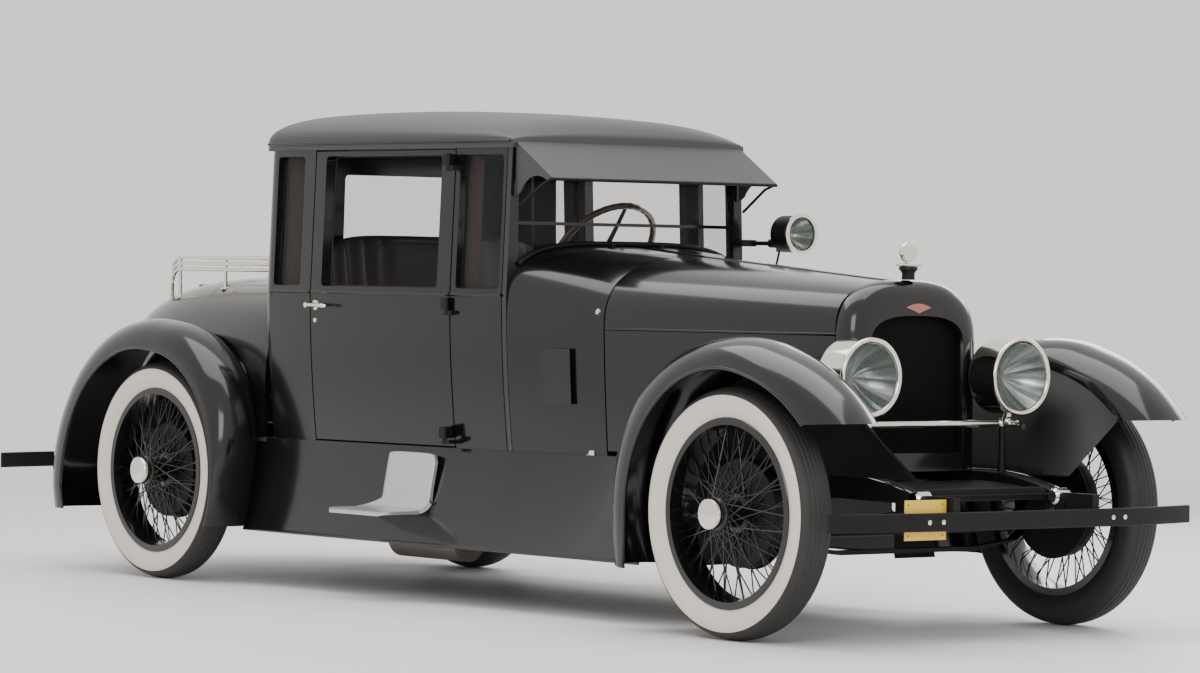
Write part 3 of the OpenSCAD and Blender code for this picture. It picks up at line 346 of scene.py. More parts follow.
def top_cloth():
    """Rubbered roof cloth with a fine grain."""
    f = Finish("top_cloth", (0.036, 0.036, 0.037), Roughness=0.45, Specular_IOR_Level=0.4,
               Coat_Weight=0.15, Coat_Roughness=0.3)
    f.bump(f.noise(900.0, 2.0), 0.25, 0.0006)
    return f.material


def nickel():
    """Polished nickel, slightly rubbed."""
    f = Finish("polished_nickel", (0.80, 0.78, 0.73), Metallic=1.0, Roughness=0.10)
    f.blend("Roughness", f.noise(14.0), 0.06, 0.15)
    return f.material


def cast_aluminium():
    """Fettled casting with a sandy grain."""
    f = Finish("cast_aluminium", (0.60, 0.60, 0.60), Metallic=0.85, Roughness=0.38)
    f.bump(f.noise(420.0, 3.0), 0.12, 0.0005)
    return f.material


def grey_iron():
    """Rough cast iron."""
    f = Finish("grey_iron", (0.10, 0.10, 0.10), Metallic=0.4, Roughness=0.6)
    f.bump(f.noise(160.0), 0.3, 0.001)
    return f.material


def dull_steel():
    """Heat-browned exhaust steel."""
    f = Finish("dull_steel", (0.12, 0.11, 0.10), Metallic=0.7, Roughness=0.5)
    f.blend("Base Color", f.noise(7.0), (0.10, 0.09, 0.08), (0.20, 0.17, 0.14))
    return f.material


def wood(name, dark, light, gloss):
    """Varnished wood with its grain along x."""
    f = Finish(name, dark, Roughness=gloss, Coat_Weight=0.6, Coat_Roughness=0.1)
    f.blend("Base Color", f.noise(28.0, 6.0, (0.2, 1, 1)), dark, light)
    return f.material


def hide():
    """Black hide with a coarse grain."""
    f = Finish("black_hide", (0.018, 0.016, 0.015), Roughness=0.45)
    f.bump(f.noise(340.0, 5.0), 0.35, 0.0012)
    return f.material


def lining():
    """Brown felted cloth."""
    f = Finish("brown_lining", (0.020, 0.010, 0.008), Roughness=0.9, Sheen_Weight=0.1)
    f.bump(f.noise(700.0, 2.0), 0.4, 0.0008)
    return f.material


def curtain_cloth():
    """Dark red-brown woven cloth, unevenly faded."""
    f = Finish("curtain_cloth", (0.030, 0.012, 0.009), Roughness=0.9, Sheen_Weight=0.2)
    f.blend("Base Color", f.noise(22.0), (0.022, 0.009, 0.007), (0.042, 0.018, 0.013))
    f.bump(f.noise(1400.0, 2.0), 0.3, 0.0004)
    return f.material


def tyre_rubber():
    """Black rubber, cream where the point's `white` value says so."""
    f = Finish("tyre_rubber", (0.020, 0.020, 0.019), Roughness=0.62)
    white = f.node("ShaderNodeAttribute", {"attribute_name": "white"}, output="Fac").over(0.5)
    f.blend("Base Color", white, (0.018, 0.018, 0.017), (0.66, 0.60, 0.53))
    f.bump(f.noise(520.0, 3.0), 0.15, 0.0006)
    return f.material


def core_mesh():
    """Dark honeycomb: a cell pattern on y and z, with painted shade: each cell's opening is painted darker
    than its walls.
    """
    f = Finish("honeycomb", (0.004, 0.004, 0.004), Roughness=0.7, Specular_IOR_Level=0.1)
    cell = f.node("ShaderNodeTexVoronoi", {"feature": "DISTANCE_TO_EDGE"},
                  {"Vector": f.where((0.01, 1, 1)), "Scale": 110.0, "Randomness": 0.0}, output="Distance")
    # Painted shade: the cells' openings are darker than the walls round them, standing in for the shade
    # inside the holes.
    f.blend("Base Color", cell.over(0.08), (0.008, 0.0075, 0.007), (0.001, 0.001, 0.001))
    f.bump(cell, 0.6, 0.004)
    return f.material


def clear_glass(name, tint, alpha):
    """Smooth glass of one tint."""
    f = Finish(name, tint, Roughness=0.02, Alpha=alpha, Specular_IOR_Level=0.6)
    return f.material


def lamp_reflector_painted_rays(name, at):
    """Bright metal with painted reflections: light and dark rays painted round a lamp's axis, the same on
    both sides of the car.
    """
    f = Finish(name, (0.30, 0.32, 0.31), Metallic=1.0, Roughness=0.24)
    paired = f.node("ShaderNodeVectorMath", {"operation": "ABSOLUTE"}, {0: f.where()})
    off = f.node("ShaderNodeVectorMath", {"operation": "SUBTRACT"}, {0: paired, 1: [abs(v) for v in at]})
    across = f.node("ShaderNodeVectorMath", {"operation": "MULTIPLY"}, {0: off, 1: (0, 1, 1)})
    ray = f.node("ShaderNodeVectorMath", {"operation": "NORMALIZE"}, {0: across})
    # Painted reflection: these rays run the metal's colour from dark to bright, standing in for what the bowl
    # reflects.
    painted_rays = f.node("ShaderNodeTexNoise", None, {"Vector": ray, "Scale": 3.2, "Detail": 1.0}, output="Fac")
    mask = f.node("ShaderNodeMapRange", None, {"Value": painted_rays, "From Min": 0.42, "From Max": 0.58})
    f.blend("Base Color", mask, (0.05, 0.06, 0.06), (0.62, 0.66, 0.64))
    return f.material


def enamel_badge():
    """Fired red enamel on metal."""
    f = Finish("badge_enamel", (0.42, 0.13, 0.10), Metallic=0.6, Roughness=0.25, Coat_Weight=1.0)
    return f.material


ENAMEL, SATIN, CLOTH, NICKEL = black_enamel(), satin_black(), top_cloth(), nickel()
ALUMINIUM, IRON, STEEL, HIDE, LINING = cast_aluminium(), grey_iron(), dull_steel(), hide(), lining()
RUBBER, CORE = tyre_rubber(), core_mesh()
CURTAIN = curtain_cloth()
GLASS = clear_glass("window_pane", (0.05, 0.06, 0.06), 0.10)
LENS = clear_glass("lamp_lens", (0.14, 0.17, 0.16), 0.20)
DASH_WOOD = wood("dash_wood", (0.045, 0.022, 0.012), (0.10, 0.05, 0.028), 0.3)
RIM_WOOD = wood("rim_wood", (0.060, 0.026, 0.014), (0.13, 0.060, 0.033), 0.22)
BOARDS = wood("floor_boards", (0.03, 0.022, 0.015), (0.06, 0.045, 0.03), 0.6)
YELLOW = Finish("plate_yellow", (0.80, 0.52, 0.05), Roughness=0.35, Coat_Weight=0.5).material
BADGE = enamel_badge()

CAD_FINISH = {
    "frame": SATIN, "front_axle": SATIN, "rear_axle": SATIN, "leaf_springs": SATIN, "engine_block": IRON,
    "drive_shaft": SATIN, "exhaust": STEEL, "fuel_tank": SATIN, "floor": BOARDS, "firewall": SATIN,
    "windscreen_frame": ENAMEL, "window_glass": GLASS, "sun_visor": CLOTH, "dashboard": DASH_WOOD,
    "seat_box": LINING, "steering_column": SATIN, "radiator_core": CORE, "licence_plate": YELLOW,
    "hood_hinge": SATIN, "left_knuckle": SATIN, "right_knuckle": SATIN, "tie_rod": SATIN,
}
for node, finish in CAD_FINISH.items():
    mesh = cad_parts[node].data
    mesh.materials.clear()
    mesh.materials.append(finish)


# Shape of the body --------------------------------------------------------------------------
def body_half(x):
    """Half width at the belt: straight along bonnet and scuttle, then a power curve to the back."""
    hood = mix(FRONT_HALF, SEAM_HALF, clamp((HOOD_FRONT - x) / HOOD_LEN))
    cowl = mix(SEAM_HALF, POST_HALF, (SEAM_X - x) / COWL_LEN)
    cab = CAB_HALF - (CAB_HALF - POST_HALF) * clamp((x - CAB_REAR - 0.1) / (POST_X - CAB_REAR - 0.1)) ** 1.7
    return np.where(x > SEAM_X, hood, np.where(x > POST_X, cowl, cab))


def side_y(x, z):
    """Outside of the body: the belt's half width, leaning in above and curling under below."""
    lean = 0.022 * clamp((z - BELT) / (DRIP - BELT))
    under = 0.036 * clamp((HOOD_FRONT - x) / (HOOD_FRONT - POST_X)) * clamp((BELT - z) / (BELT - SILL)) ** 1.7
    return body_half(x) - lean - under


def crown(x):
    """Top height and superellipse power of the bonnet and scuttle at x."""
    hood, cowl = (HOOD_FRONT - x) / HOOD_LEN, (SEAM_X - x) / COWL_LEN
    top = np.where(x > SEAM_X, mix(FRONT_TOP, SEAM_TOP, hood), mix(SEAM_TOP, POST_TOP, cowl))
    power = np.where(x > SEAM_X, mix(2.85, 2.6, hood), mix(2.6, 3.85, cowl))
    return top, power


def crown_line(x, a, inset=0.0):
    """Superellipse from the side at the split (a = 0) to the crown (a = pi/2)."""
    top, power = crown(x)
    width = side_y(x, SPLIT_Z) - inset
    y = width * np.cos(a) ** (2 / power)
    z = SPLIT_Z + (top - inset - SPLIT_Z) * np.sin(a) ** (2 / power)
    return grid(x, y, z)


def body_section(x, inset):
    """Whole section of the scuttle: up one side, over the crown and down the other."""
    low = np.linspace(SILL, SPLIT_Z, 14, endpoint=False)[None]
    half = np.concatenate([grid(x, side_y(x, low) - inset, low),
                           crown_line(x, np.linspace(0, np.pi / 2 - 1e-4, 40)[None], inset)], 1)
    return np.concatenate([half, half[:, ::-1] * [1, -1, 1]], 1)


def wall(xs, zs, near=-WALL, far=0.0, shape=side_y):
    """Upright wall between two offsets from a shape, over lengthways and upright stations."""
    x, z = column(xs), np.asarray(zs, float)[None]
    y = shape(x, z)
    return shell(grid(x, y + far, z), grid(x, y + near, z))


def rounded_outline(x0, x1, z0, z1, radius, count=25):
    """Closed outline of a rectangle with round corners: count points to each corner and side."""
    radius = max(radius, 1e-4)
    turn = np.linspace(0, np.pi / 2, count)
    corners = [(x1 - radius, z1 - radius, 0), (x0 + radius, z1 - radius, 1),
               (x0 + radius, z0 + radius, 2), (x1 - radius, z0 + radius, 3)]
    arcs = [np.stack([cx + radius * np.cos(turn + k * np.pi / 2),
                      cz + radius * np.sin(turn + k * np.pi / 2)], -1) for cx, cz, k in corners]
    sides = []
    for i, arc in enumerate(arcs):
        step = np.linspace(0, 1, count + 2)[1:-1, None]
        sides += [arc, mix(arc[-1], arcs[(i + 1) % 4][0], step)]
    return np.vstack(sides)


def spread(outline, hole, rows):
    """Both coordinates of points on straight lines from an outline to the hole inside it."""
    flat = mix(outline[:, None], hole[:, None], np.linspace(0, 1, rows)[None, :, None])
    return flat[..., 0], flat[..., 1]


def pierced(outline, hole, near=-WALL, far=0.0, shape=side_y, rows=14):
    """Wall with one window: points run straight from the outline to the hole's edge."""
    x, z = spread(outline, hole, rows)
    y = shape(x, z)
    return shell(grid(x, y + far, z), grid(x, y + near, z), wrap_u=True)


def hood_top():
    """Bonnet top: the crown from its split to the middle hinge."""
    x = column(np.linspace(*HOOD_SPAN, 40))
    half_gap = 0.008
    stop = np.arccos((half_gap / side_y(x, SPLIT_Z)) ** (crown(x)[1] / 2))
    a = np.linspace(0.012, 1, 56)[None] ** 1.25 * stop
    sheet = shell(crown_line(x, a), crown_line(x, a, 0.008))
    ends = np.array([[e, side_y(e, SPLIT_Z) - 0.004, SPLIT_Z] for e in HOOD_SPAN[::-1]])
    return joined([sheet, tube(ends, 0.0054)])


def deck_size(x):
    """Half width and height of the rear deck at x, both falling to the tail on superellipses."""
    s = clamp((DECK_KNEE - x) / (DECK_KNEE - DECK_END + 0.008))
    half = (0.620 - 0.170 * clamp((DECK_START - x) / (DECK_START - DECK_END)) ** 1.6) * dome(s, 6)
    return half, (DECK_TOP - SILL) * dome(s, 3)


def deck_skin(x, a, inset=0.0):
    """Section of the deck: half width times the root of cos a, height times the root of sin a."""
    half, rise = deck_size(np.minimum(x, DECK_START))
    y = (half - inset) * np.sign(np.cos(a)) * np.sqrt(np.abs(np.cos(a)))
    return grid(x, y, SILL + (rise - inset) * np.sqrt(np.clip(np.sin(a), 0, 1)))


def roof_skin(x, v, inset, end, grow):
    """Roof height over v from -1 to 1: a superellipse that rounds off towards the back, and
    rolls down over its nose to a thin front edge."""
    q = dome(clamp((end + 0.1 - x) / 0.101), 2.6)
    rise = ROOF_RISE * (1 - 0.41 * ((x - CAB_REAR - 0.370) / (POST_X - CAB_REAR - 0.370)) ** 2)
    half = side_y(np.maximum(x, CAB_REAR), DRIP) + grow - inset - 0.080 * (1 - q)
    roll = mix(0.1, 1, dome(clamp((x - POST_X - 0.007 + ROOF_NOSE) / (ROOF_NOSE + 0.001)), 2.2))
    c = np.maximum(0.004, (rise - inset * 0.6) * mix(0.25, 1, q) * roll)
    return grid(x, half * v, DRIP - inset * 0.4 + c * dome(v, 2.4))


def lip_r(a):
    """Front wing's outer edge: its distance from the axle at angle a in degrees."""
    return AXLE_Z + 0.064 + 0.055 * clamp((75 - a) / 45) ** 1.5 + 0.040 * clamp((a - 180) / 22) ** 2


def crown_r(a):
    """Front wing's crown: its distance from the axle, growing towards both ends by powers of a."""
    return AXLE_Z + 0.159 + 0.065 * clamp((72 - a) / 45) ** 1.5 + 0.046 * clamp((a - 95) / 45) ** 1.5


def front_wing(u, v, inset=0.0):
    """Front wing: u from its cut front end to its back edge, v from the outer lip inwards."""
    d = dome(v, 2.2)
    r35 = mix(lip_r(35), crown_r(35), d) - inset
    r195 = mix(lip_r(195), crown_r(195), d) - inset
    start = np.degrees(np.arcsin((WING_CUT - AXLE_Z) / r35))
    end = 180 + np.degrees(np.arcsin((AXLE_Z - WING_LOW) / r195))
    a = mix(start, end, u)
    r = mix(lip_r(a), crown_r(a), d) - inset
    a = np.radians(a)
    return grid(r * np.cos(a), WING_OUT - inset - (1 + v) * (WING_W / 2 - inset), AXLE_Z + r * np.sin(a))


def frame_y(x):
    """Outside of the chassis rail: it tapers in towards the front."""
    return 0.335 + 0.070 * clamp((0.050 - x) / 0.950)


def rear_wing_r(a, v):
    """Rear wing's distance from the axle: lip to crown on a superellipse, then falling by v squared."""
    lip = AXLE_Z + 0.050 + 0.150 * clamp((a - 88) / 100) ** 1.25
    top = AXLE_Z + 0.076 + 0.076 * clamp(a / 40) ** 0.8 + 0.172 * clamp((a - 85) / 95) ** 1.3
    return np.where(v < 0, mix(lip, top, dome(v, 2.2)), top - 0.030 * v * v)


def rear_wing(u, v, inset=0.0):
    """Rear wing: v from its outer lip (-1) over the crown to the deck's side (1)."""
    a0 = -np.degrees(np.arcsin((AXLE_Z - WING_LOW) / (rear_wing_r(-20.0, v) - inset)))
    a1 = 180 + np.degrees(np.arcsin((AXLE_Z - WING_LOW - 0.020) / (rear_wing_r(195.0, v) - inset)))
    a = mix(a0, a1, u)
    r = rear_wing_r(a, v) - inset
    x = r * np.cos(np.radians(a)) - WHEELBASE
    inner = deck_size(x)[0] + 0.0005 + 0.002 * clamp((DECK_KNEE - x) / 0.700)
    middle = WING_OUT - WING_W / 2 + 0.012
    y = np.where(v < 0, mix(middle, WING_OUT - inset, -v), mix(middle, inner, np.maximum(v, 0)))
    return grid(x, y, AXLE_Z + r * np.sin(np.radians(a)))


def apron_y(x, z):
    """Splash apron: leans out from the body's sill to its own lower edge."""
    top = np.maximum(side_y(x, SILL) - 0.0014, frame_y(x) + 0.001)
    low = mix(0.612, 0.642, clamp((SEAM_X - x) / 1.5))
    return mix(top, low, clamp((FLOOR_TOP - 0.001 - z) / (FLOOR_TOP - 0.001 - APRON_LOW)))


def rail_on_side(x0, x1, z, radius, out=0.0, count=40):
    """A bead that follows the body's side at one height."""
    x = np.linspace(x0, x1, count)
    return tube(grid(x, side_y(x, z) + out, z), radius, 10)


# Body panels --------------------------------------------------------------------------------
def build_hood():
    """Four bonnet panels, each on its own body."""
    side = wall(np.linspace(*HOOD_SPAN, 40), np.linspace(0.561, SPLIT_Z - 0.006, 16), -0.008)
    for name, s in SIDES:
        for panel, shape in (("top", hood_top()), ("side", side)):
            node = f"hood_{panel}_{name}"
            make(f"bonnet_{panel}_{name}", place(shape, s), node, ENAMEL, [node])


def build_cowl():
    """Scuttle shell, a flap vent on each side that opens forwards, and the bead at the windscreen's foot."""
    x = column(np.linspace(SEAM_X, POST_X, 24))
    scuttle = shell(body_section(x, 0), body_section(x, 0.030))
    make("scuttle", place(scuttle), BODY, ENAMEL, ["cowl"])
    vent_rear, vent_front = -1.329, -1.193
    vx, vz = column(np.linspace(vent_rear, vent_front, 8)), np.linspace(0.715, 0.907, 8)[None]
    y = side_y(vx, vz) + 0.001 + 0.012 * (vx - vent_rear) / (vent_front - vent_rear)
    flap = shell(grid(vx, y + 0.004, vz), grid(vx, y - 0.001, vz))
    make("scuttle_vents", place(both(flap)), BODY, ENAMEL)
    y = np.linspace(-0.487, 0.487, 80)
    rise = (POST_TOP - SPLIT_Z) * dome(y / side_y(POST_X, SPLIT_Z), crown(POST_X)[1])
    arc = grid(POST_X + 0.006, y, SPLIT_Z + 0.006 + rise)
    make("windscreen_foot_bead", place(tube(arc, 0.009)), BODY, SATIN)


def hinge_half(z, x_arm, low, high):
    """Barrel, flat leaf and pillar foot of one hinge half, from low to high."""
    x, y = DOOR_FRONT, 0.5857
    foot = float(side_y(x_arm, z))
    x_low, x_high = sorted((x, x + math.copysign(0.030, x_arm - x)))
    leaf = block((x_low, y - 0.006, low + 0.002), (x_high, y + 0.004, high - 0.002))
    arm = block((x_arm - 0.010, foot - 0.008, low + 0.002), (x_arm + 0.010, y + 0.003, high - 0.002))
    return joined([peg(low, high, 0.009, (x, y, 0), ALONG_Z, 24), leaf, arm])


def lining_round(outline, x0, x1):
    """Thin lining inside a wall, with a window from x0 to x1 a little smaller than the wall's own."""
    hole = rounded_outline(x0, x1, WINDOW[0] + LINING_SHOWS, WINDOW[1] - LINING_SHOWS, 0.014)
    return pierced(outline, hole, *LINING_SIDES)


def build_sides():
    """Cab walls in front of and behind the doors, with their small windows cut."""
    z0, z1 = WINDOW
    front = pierced(rounded_outline(DOOR_FRONT + GAP, POST_X - 0.0266, SILL, CANT, 0.001),
                    rounded_outline(DOOR_FRONT + 0.026, POST_X - 0.041, z0, z1, 0.014))
    rear = pierced(rounded_outline(CAB_REAR + CORNER_R, DOOR_REAR - GAP, SILL, CANT, 0.001),
                   rounded_outline(DOOR_REAR - 0.232, DOOR_REAR - 0.066, z0, z1, 0.014))
    make("cab_walls", place(both(joined([front, rear]))), BODY, ENAMEL, ["body_sides"])
    hinges = [hinge_half(z, DOOR_FRONT + 0.021, z - 0.040, z - 0.0225) for z in HINGE_HEIGHTS]
    make("pillar_hinges", place(both(joined(hinges))), BODY, SATIN, bevel=0.001)
    beads = [rail_on_side(POST_X - 0.028, DOOR_FRONT + 0.004, BEAD_Z, BEAD_R),
             rail_on_side(DOOR_REAR - 0.004, CAB_REAR + CORNER_R, BEAD_Z, BEAD_R),
             rail_on_side(POST_X - 0.005, CAB_REAR + 0.02, DRIP - 0.004, BEAD_R, ROOF_SIDE),
             rail_on_side(POST_X - 0.005, CAB_REAR + 0.02, CANT + 0.004, 0.005, 0.004)]
    make("belt_and_drip_beads", place(both(joined(beads))), BODY, ENAMEL)
    low, high = 1.05, CANT - 0.004
    trims = [lining_round(rounded_outline(DOOR_FRONT + 0.010, POST_X - 0.030, low, high, 0.001),
                          DOOR_FRONT + 0.030, POST_X - 0.045),
             lining_round(rounded_outline(CAB_REAR + CORNER_R, DOOR_REAR - 0.010, low, high, 0.001),
                          DOOR_REAR - 0.228, DOOR_REAR - 0.070)]
    make("cab_wall_lining", place(both(joined(trims))), BODY, LINING)


def door_handle():
    """Turned rose and stem, a tapering lever that points forwards, and a key's escutcheon below."""
    hx, hz = DOOR_REAR + 0.032, 1.038
    hy = float(side_y(hx, hz))
    lever = np.array([(hx, hy + 0.040, hz), (hx + 0.02, hy + 0.042, hz), (hx + 0.06, hy + 0.041, hz),
                      (hx + 0.098, hy + 0.036, hz - 0.002), (hx + 0.108, hy + 0.030, hz - 0.002)])
    rose = [(-0.001, 0), (-0.001, 0.019), (0.004, 0.018), (0.007, 0.010), (0.034, 0.0085), (0.047, 0.0095),
            (0.050, 0)]
    key = [(-0.001, 0), (-0.001, 0.009), (0.004, 0.008), (0.005, 0)]
    taper = [0.0085, 0.0075, 0.0065, 0.0075, 0.004]
    return joined([lathe(rose, (hx, hy, hz), ALONG_Y, 32), tube(lever, taper, 12),
                   lathe(key, (hx, hy, hz - 0.055), ALONG_Y, 24)])


def build_doors():
    """Both doors: a wall with its window open, tucked in at the rear edge so that it clears its post."""
    outline = rounded_outline(DOOR_REAR + GAP, DOOR_FRONT - GAP, SILL + 0.006, CANT - 0.006, 0.004)
    hole = rounded_outline(DOOR_REAR + 0.062, DOOR_FRONT - 0.070, *WINDOW, 0.016)
    rows = 18
    x, z = spread(outline, hole, rows)
    y = side_y(x, z)
    tuck = 0.014 * clamp((DOOR_REAR + 0.060 - x) / 0.057) * (1 - np.linspace(0, 1, rows)[None])
    skin = shell(grid(x, y, z), grid(x + tuck, y - WALL, z), wrap_u=True)
    inside = rounded_outline(DOOR_REAR + 0.030, DOOR_FRONT - 0.014, SILL + 0.03, CANT - 0.012, 0.004)
    trim = lining_round(inside, DOOR_REAR + 0.066, DOOR_FRONT - 0.074)
    hinges = [hinge_half(z, DOOR_FRONT - 0.020, z - 0.022, z + 0.022) for z in HINGE_HEIGHTS]
    bead = rail_on_side(DOOR_REAR + 0.006, DOOR_FRONT - 0.006, BEAD_Z, BEAD_R)
    for name, s in SIDES:
        body = f"{name}_door"
        make(f"{name}_door_panel", place(skin, s), body, ENAMEL, [body])
        make(f"{name}_door_lining", place(trim, s), body, LINING)
        make(f"{name}_door_hinges", place(joined(hinges), s), body, SATIN, bevel=0.001)
        make(f"{name}_door_bead", place(bead, s), body, ENAMEL)
        make(f"{name}_door_handle", place(door_handle(), s), body, NICKEL)


def back_surface(s, z, inset):
    """Points on the cab's back for s from -1 to 1, with round corners past the flat share, and height z."""
    turn = clamp((np.abs(s) - BACK_FLAT) / (1 - BACK_FLAT)) * np.pi / 2
    flat = side_y(CAB_REAR + CORNER_R, z) - CORNER_R
    r = CORNER_R - inset
    y = np.where(np.abs(s) < BACK_FLAT, flat * s / BACK_FLAT, np.sign(s) * (flat + r * np.sin(turn)))
    return grid(CAB_REAR + CORNER_R - SEAT - (r - SEAT) * np.cos(turn), y, z)


def build_back():
    """Cab back with its window, from the same straight rows as a pierced wall."""
    flat = float(side_y(CAB_REAR + CORNER_R, 1.3)) - CORNER_R
    window_half = 0.300 * BACK_FLAT / flat
    hole = rounded_outline(-window_half, window_half, 1.210, 1.520, 0.02)
    s, z = spread(rounded_outline(-1, 1, SILL, CANT, 0.001), hole, 30)
    panel = shell(back_surface(s, z, 0), back_surface(s, z, WALL), wrap_u=True)
    make("cab_back_panel", place(panel), BODY, ENAMEL, ["cab_back"])


def dropped(row, z):
    """A row of points moved straight down or up to one height."""
    return row * [1, 1, 0] + [0, 0, z]


def build_roof():
    """Roof skin over the cab with a hollow inside and a flat brim all round."""
    base, end, inner_end = CANT + SEAT, CAB_REAR - ROOF_TAIL, CAB_REAR + WALL
    v = np.sin(np.linspace(-np.pi / 2, np.pi / 2, 61))[None]
    nose, tail = np.linspace(0, 1, 24) ** 2, np.sin(np.linspace(0, np.pi / 2, 20))
    outer_x = [POST_X + 0.007 - ROOF_NOSE * nose, np.linspace(POST_X - 0.2, CAB_REAR + 0.07, 30),
               end + 0.1 - 0.099 * tail]
    inner_x = [POST_X - 0.026 - 0.137 * nose, np.linspace(POST_X - 0.2, CAB_REAR + 0.14, 30),
               inner_end + 0.1 - 0.098 * tail]
    outer = roof_skin(column(np.concatenate(outer_x)), v, 0, end, ROOF_SIDE)
    inner = roof_skin(column(np.concatenate(inner_x)), v, WALL + 0.004, inner_end, 0)
    brim_out, brim_in = [np.concatenate([side[:, :1], side, side[:, -1:]], 1) for side in (outer, inner)]
    for brim in (brim_out, brim_in):
        brim[:, (0, -1), 2] = base
    ends = [stack(out_row, dropped(out_row, base), dropped(in_row, base), in_row)
            for out_row, in_row in ((brim_out[i], brim_in[i]) for i in (0, -1))]
    sides = [stack(brim_out[:, i], brim_in[:, i]) for i in (0, -1)]
    part = joined([quads(brim_out), quads(brim_in)] + ends + sides)
    make("roof_skin", place(part), BODY, CLOTH, ["roof"], angle=50)


def cut_copy(name, part, low, high, operation):
    """Closed shape with a box taken from it or kept of it, as a (points, faces) pair of triangles."""
    shape, tool = [placed_object(name, closed_mesh(name, solid, slivers=False))
                   for solid in (part, block(low, high))]
    cut = shape.modifiers.new("cut", "BOOLEAN")
    cut.object, cut.operation, cut.solver = tool, operation, "EXACT"
    made = shape.evaluated_get(bpy.context.evaluated_depsgraph_get()).to_mesh()
    made.calc_loop_triangles()
    points = np.zeros(len(made.vertices) * 3)
    made.vertices.foreach_get("co", points)
    faces = np.zeros(len(made.loop_triangles) * 3, int)
    made.loop_triangles.foreach_get("vertices", faces)
    for thing in (shape, tool):
        bpy.data.objects.remove(thing)
    return points.reshape(-1, 3), faces.reshape(-1, 3)


def lid_hinge_leaf(y, low, high, s):
    """Barrel and flat leaf of a lid hinge at y; the leaf follows the deck's slope, forwards where s is 1."""
    slope = math.atan(0.30)
    pin = np.array([LID_X - 0.002, y, LID_AXIS_Z])
    along = np.array([s * math.cos(slope), 0, s * math.sin(slope)])
    out = np.array([-math.sin(slope), 0, math.cos(slope)])
    corners = np.array([pin + d * along + h * out for d, h in
                        ((0, -0.007), (0.036, -0.007), (0.036, -0.002), (0, -0.002))])
    loop = np.stack([corners + [0, low, 0], corners + [0, high, 0]])
    ends = [quads(end[[[0, 1], [3, 2]]]) for end in loop]
    return joined([peg(low, high, 0.007, pin, ALONG_Y, 24), quads(loop, False, True)] + ends)


def build_deck():
    """Rear deck as one closed shell, split into the fixed part and the lid."""
    x = np.concatenate([np.linspace(DECK_START, DECK_KNEE, 20, endpoint=False),
                        mix(DECK_KNEE, DECK_END, np.sin(np.linspace(0, np.pi / 2, 60)))])
    a = np.linspace(0, np.pi, 161)[None]
    a = a - 0.35 * np.sin(2 * a)
    thick = 0.020
    outer, inner = deck_skin(column(x), a), deck_skin(column(np.maximum(x, DECK_END + thick)), a, thick)
    tails = [stack(side[-1], dropped(side[-1], SILL)) for side in (outer, inner)]
    foot = stack(dropped(outer[-1], SILL), dropped(inner[-1], SILL))
    rims = [stack(outer[:, i], inner[:, i]) for i in (0, -1)]
    whole = joined([quads(outer), quads(inner)] + tails + [stack(outer[0], inner[0]), foot] + rims)
    past, above, g = DECK_END - 0.05, 1.4, LID_GAP
    fixed = cut_copy("deck", whole, (past, -LID_HALF, LID_LOW), (LID_X, LID_HALF, above), "DIFFERENCE")
    lid_low, lid_high = (past, g - LID_HALF, LID_LOW + g), (LID_X - g, LID_HALF - g, above)
    lid = cut_copy("lid", whole, lid_low, lid_high, "INTERSECT")
    make("deck_shell", place(fixed), BODY, ENAMEL, ["rear_deck"], angle=30)
    make("luggage_lid", place(lid), "deck_lid", ENAMEL, ["deck_lid"], angle=30)
    for name, body, spans, s in (("deck_hinges", BODY, ((-0.0605, -0.0205), (0.0205, 0.0605)), 1),
                                 ("lid_hinges", "deck_lid", ((-0.020, 0.020),), -1)):
        leaves = [lid_hinge_leaf(y, low, high, s) for y in (-0.180, 0.180) for low, high in spans]
        make(name, place(joined(leaves)), body, SATIN)
    bow = [(DECK_END - x, y, LID_HANDLE_Z) for x, y in ((0.020, -0.040), (0.022, 0), (0.020, 0.040))]
    rose = [(-0.002, 0), (-0.002, 0.022), (0.006, 0.020), (0.008, 0)]
    handle = [lathe(rose, (DECK_END - 0.001, 0, LID_HANDLE_Z), (-1, 0, 0), 32),
              tube(bow, [0.005, 0.008, 0.005], 12),
              tube([(DECK_END, 0, LID_HANDLE_Z), bow[1]], 0.006, 12)]
    make("lid_handle", place(joined(handle)), "deck_lid", NICKEL)


def build_wings():
    """Front wing caps with their inner valances, rear wings up to the deck, and beads along their lips."""
    u = column(np.linspace(0, 1, 90))
    v = np.sin(np.linspace(-np.pi / 2, np.pi / 2, 45))[None]
    caps, valances = [], []
    drop = np.linspace(0, 1, 14)[None]
    for inset in (0, SHEET):
        cap = front_wing(u, v, inset)
        x, y, z = np.moveaxis(cap[:, -1:], -1, 0)
        foot_y, foot_z = frame_y(x) + 0.0004, np.minimum(z, 0.528 - inset)
        caps.append(cap)
        valances.append(grid(x, mix(y, foot_y, drop), mix(z, foot_z, drop)))
    lip = front_wing(u, np.array([[-1.0]]), 0.004)[:, 0]
    make("front_wing_pair", place(both(shell(*caps))), BODY, ENAMEL, ["front_wings"])
    make("front_wing_valances", place(both(shell(*valances))), BODY, SATIN)
    v = np.concatenate([np.sin(np.linspace(-np.pi / 2, 0, 24, endpoint=False)), np.linspace(0, 1, 18)])[None]
    rear = shell(rear_wing(u, v), rear_wing(u, v, SHEET))
    make("rear_wing_pair", place(both(rear)), BODY, ENAMEL, ["rear_wings"])
    back_lip = rear_wing(u, np.array([[-1.0]]), 0.004)[:, 0]
    beads = joined([tube(lip, 0.006, 10), tube(back_lip, 0.006, 10)])
    make("wing_edge_beads", place(both(beads)), BODY, ENAMEL)


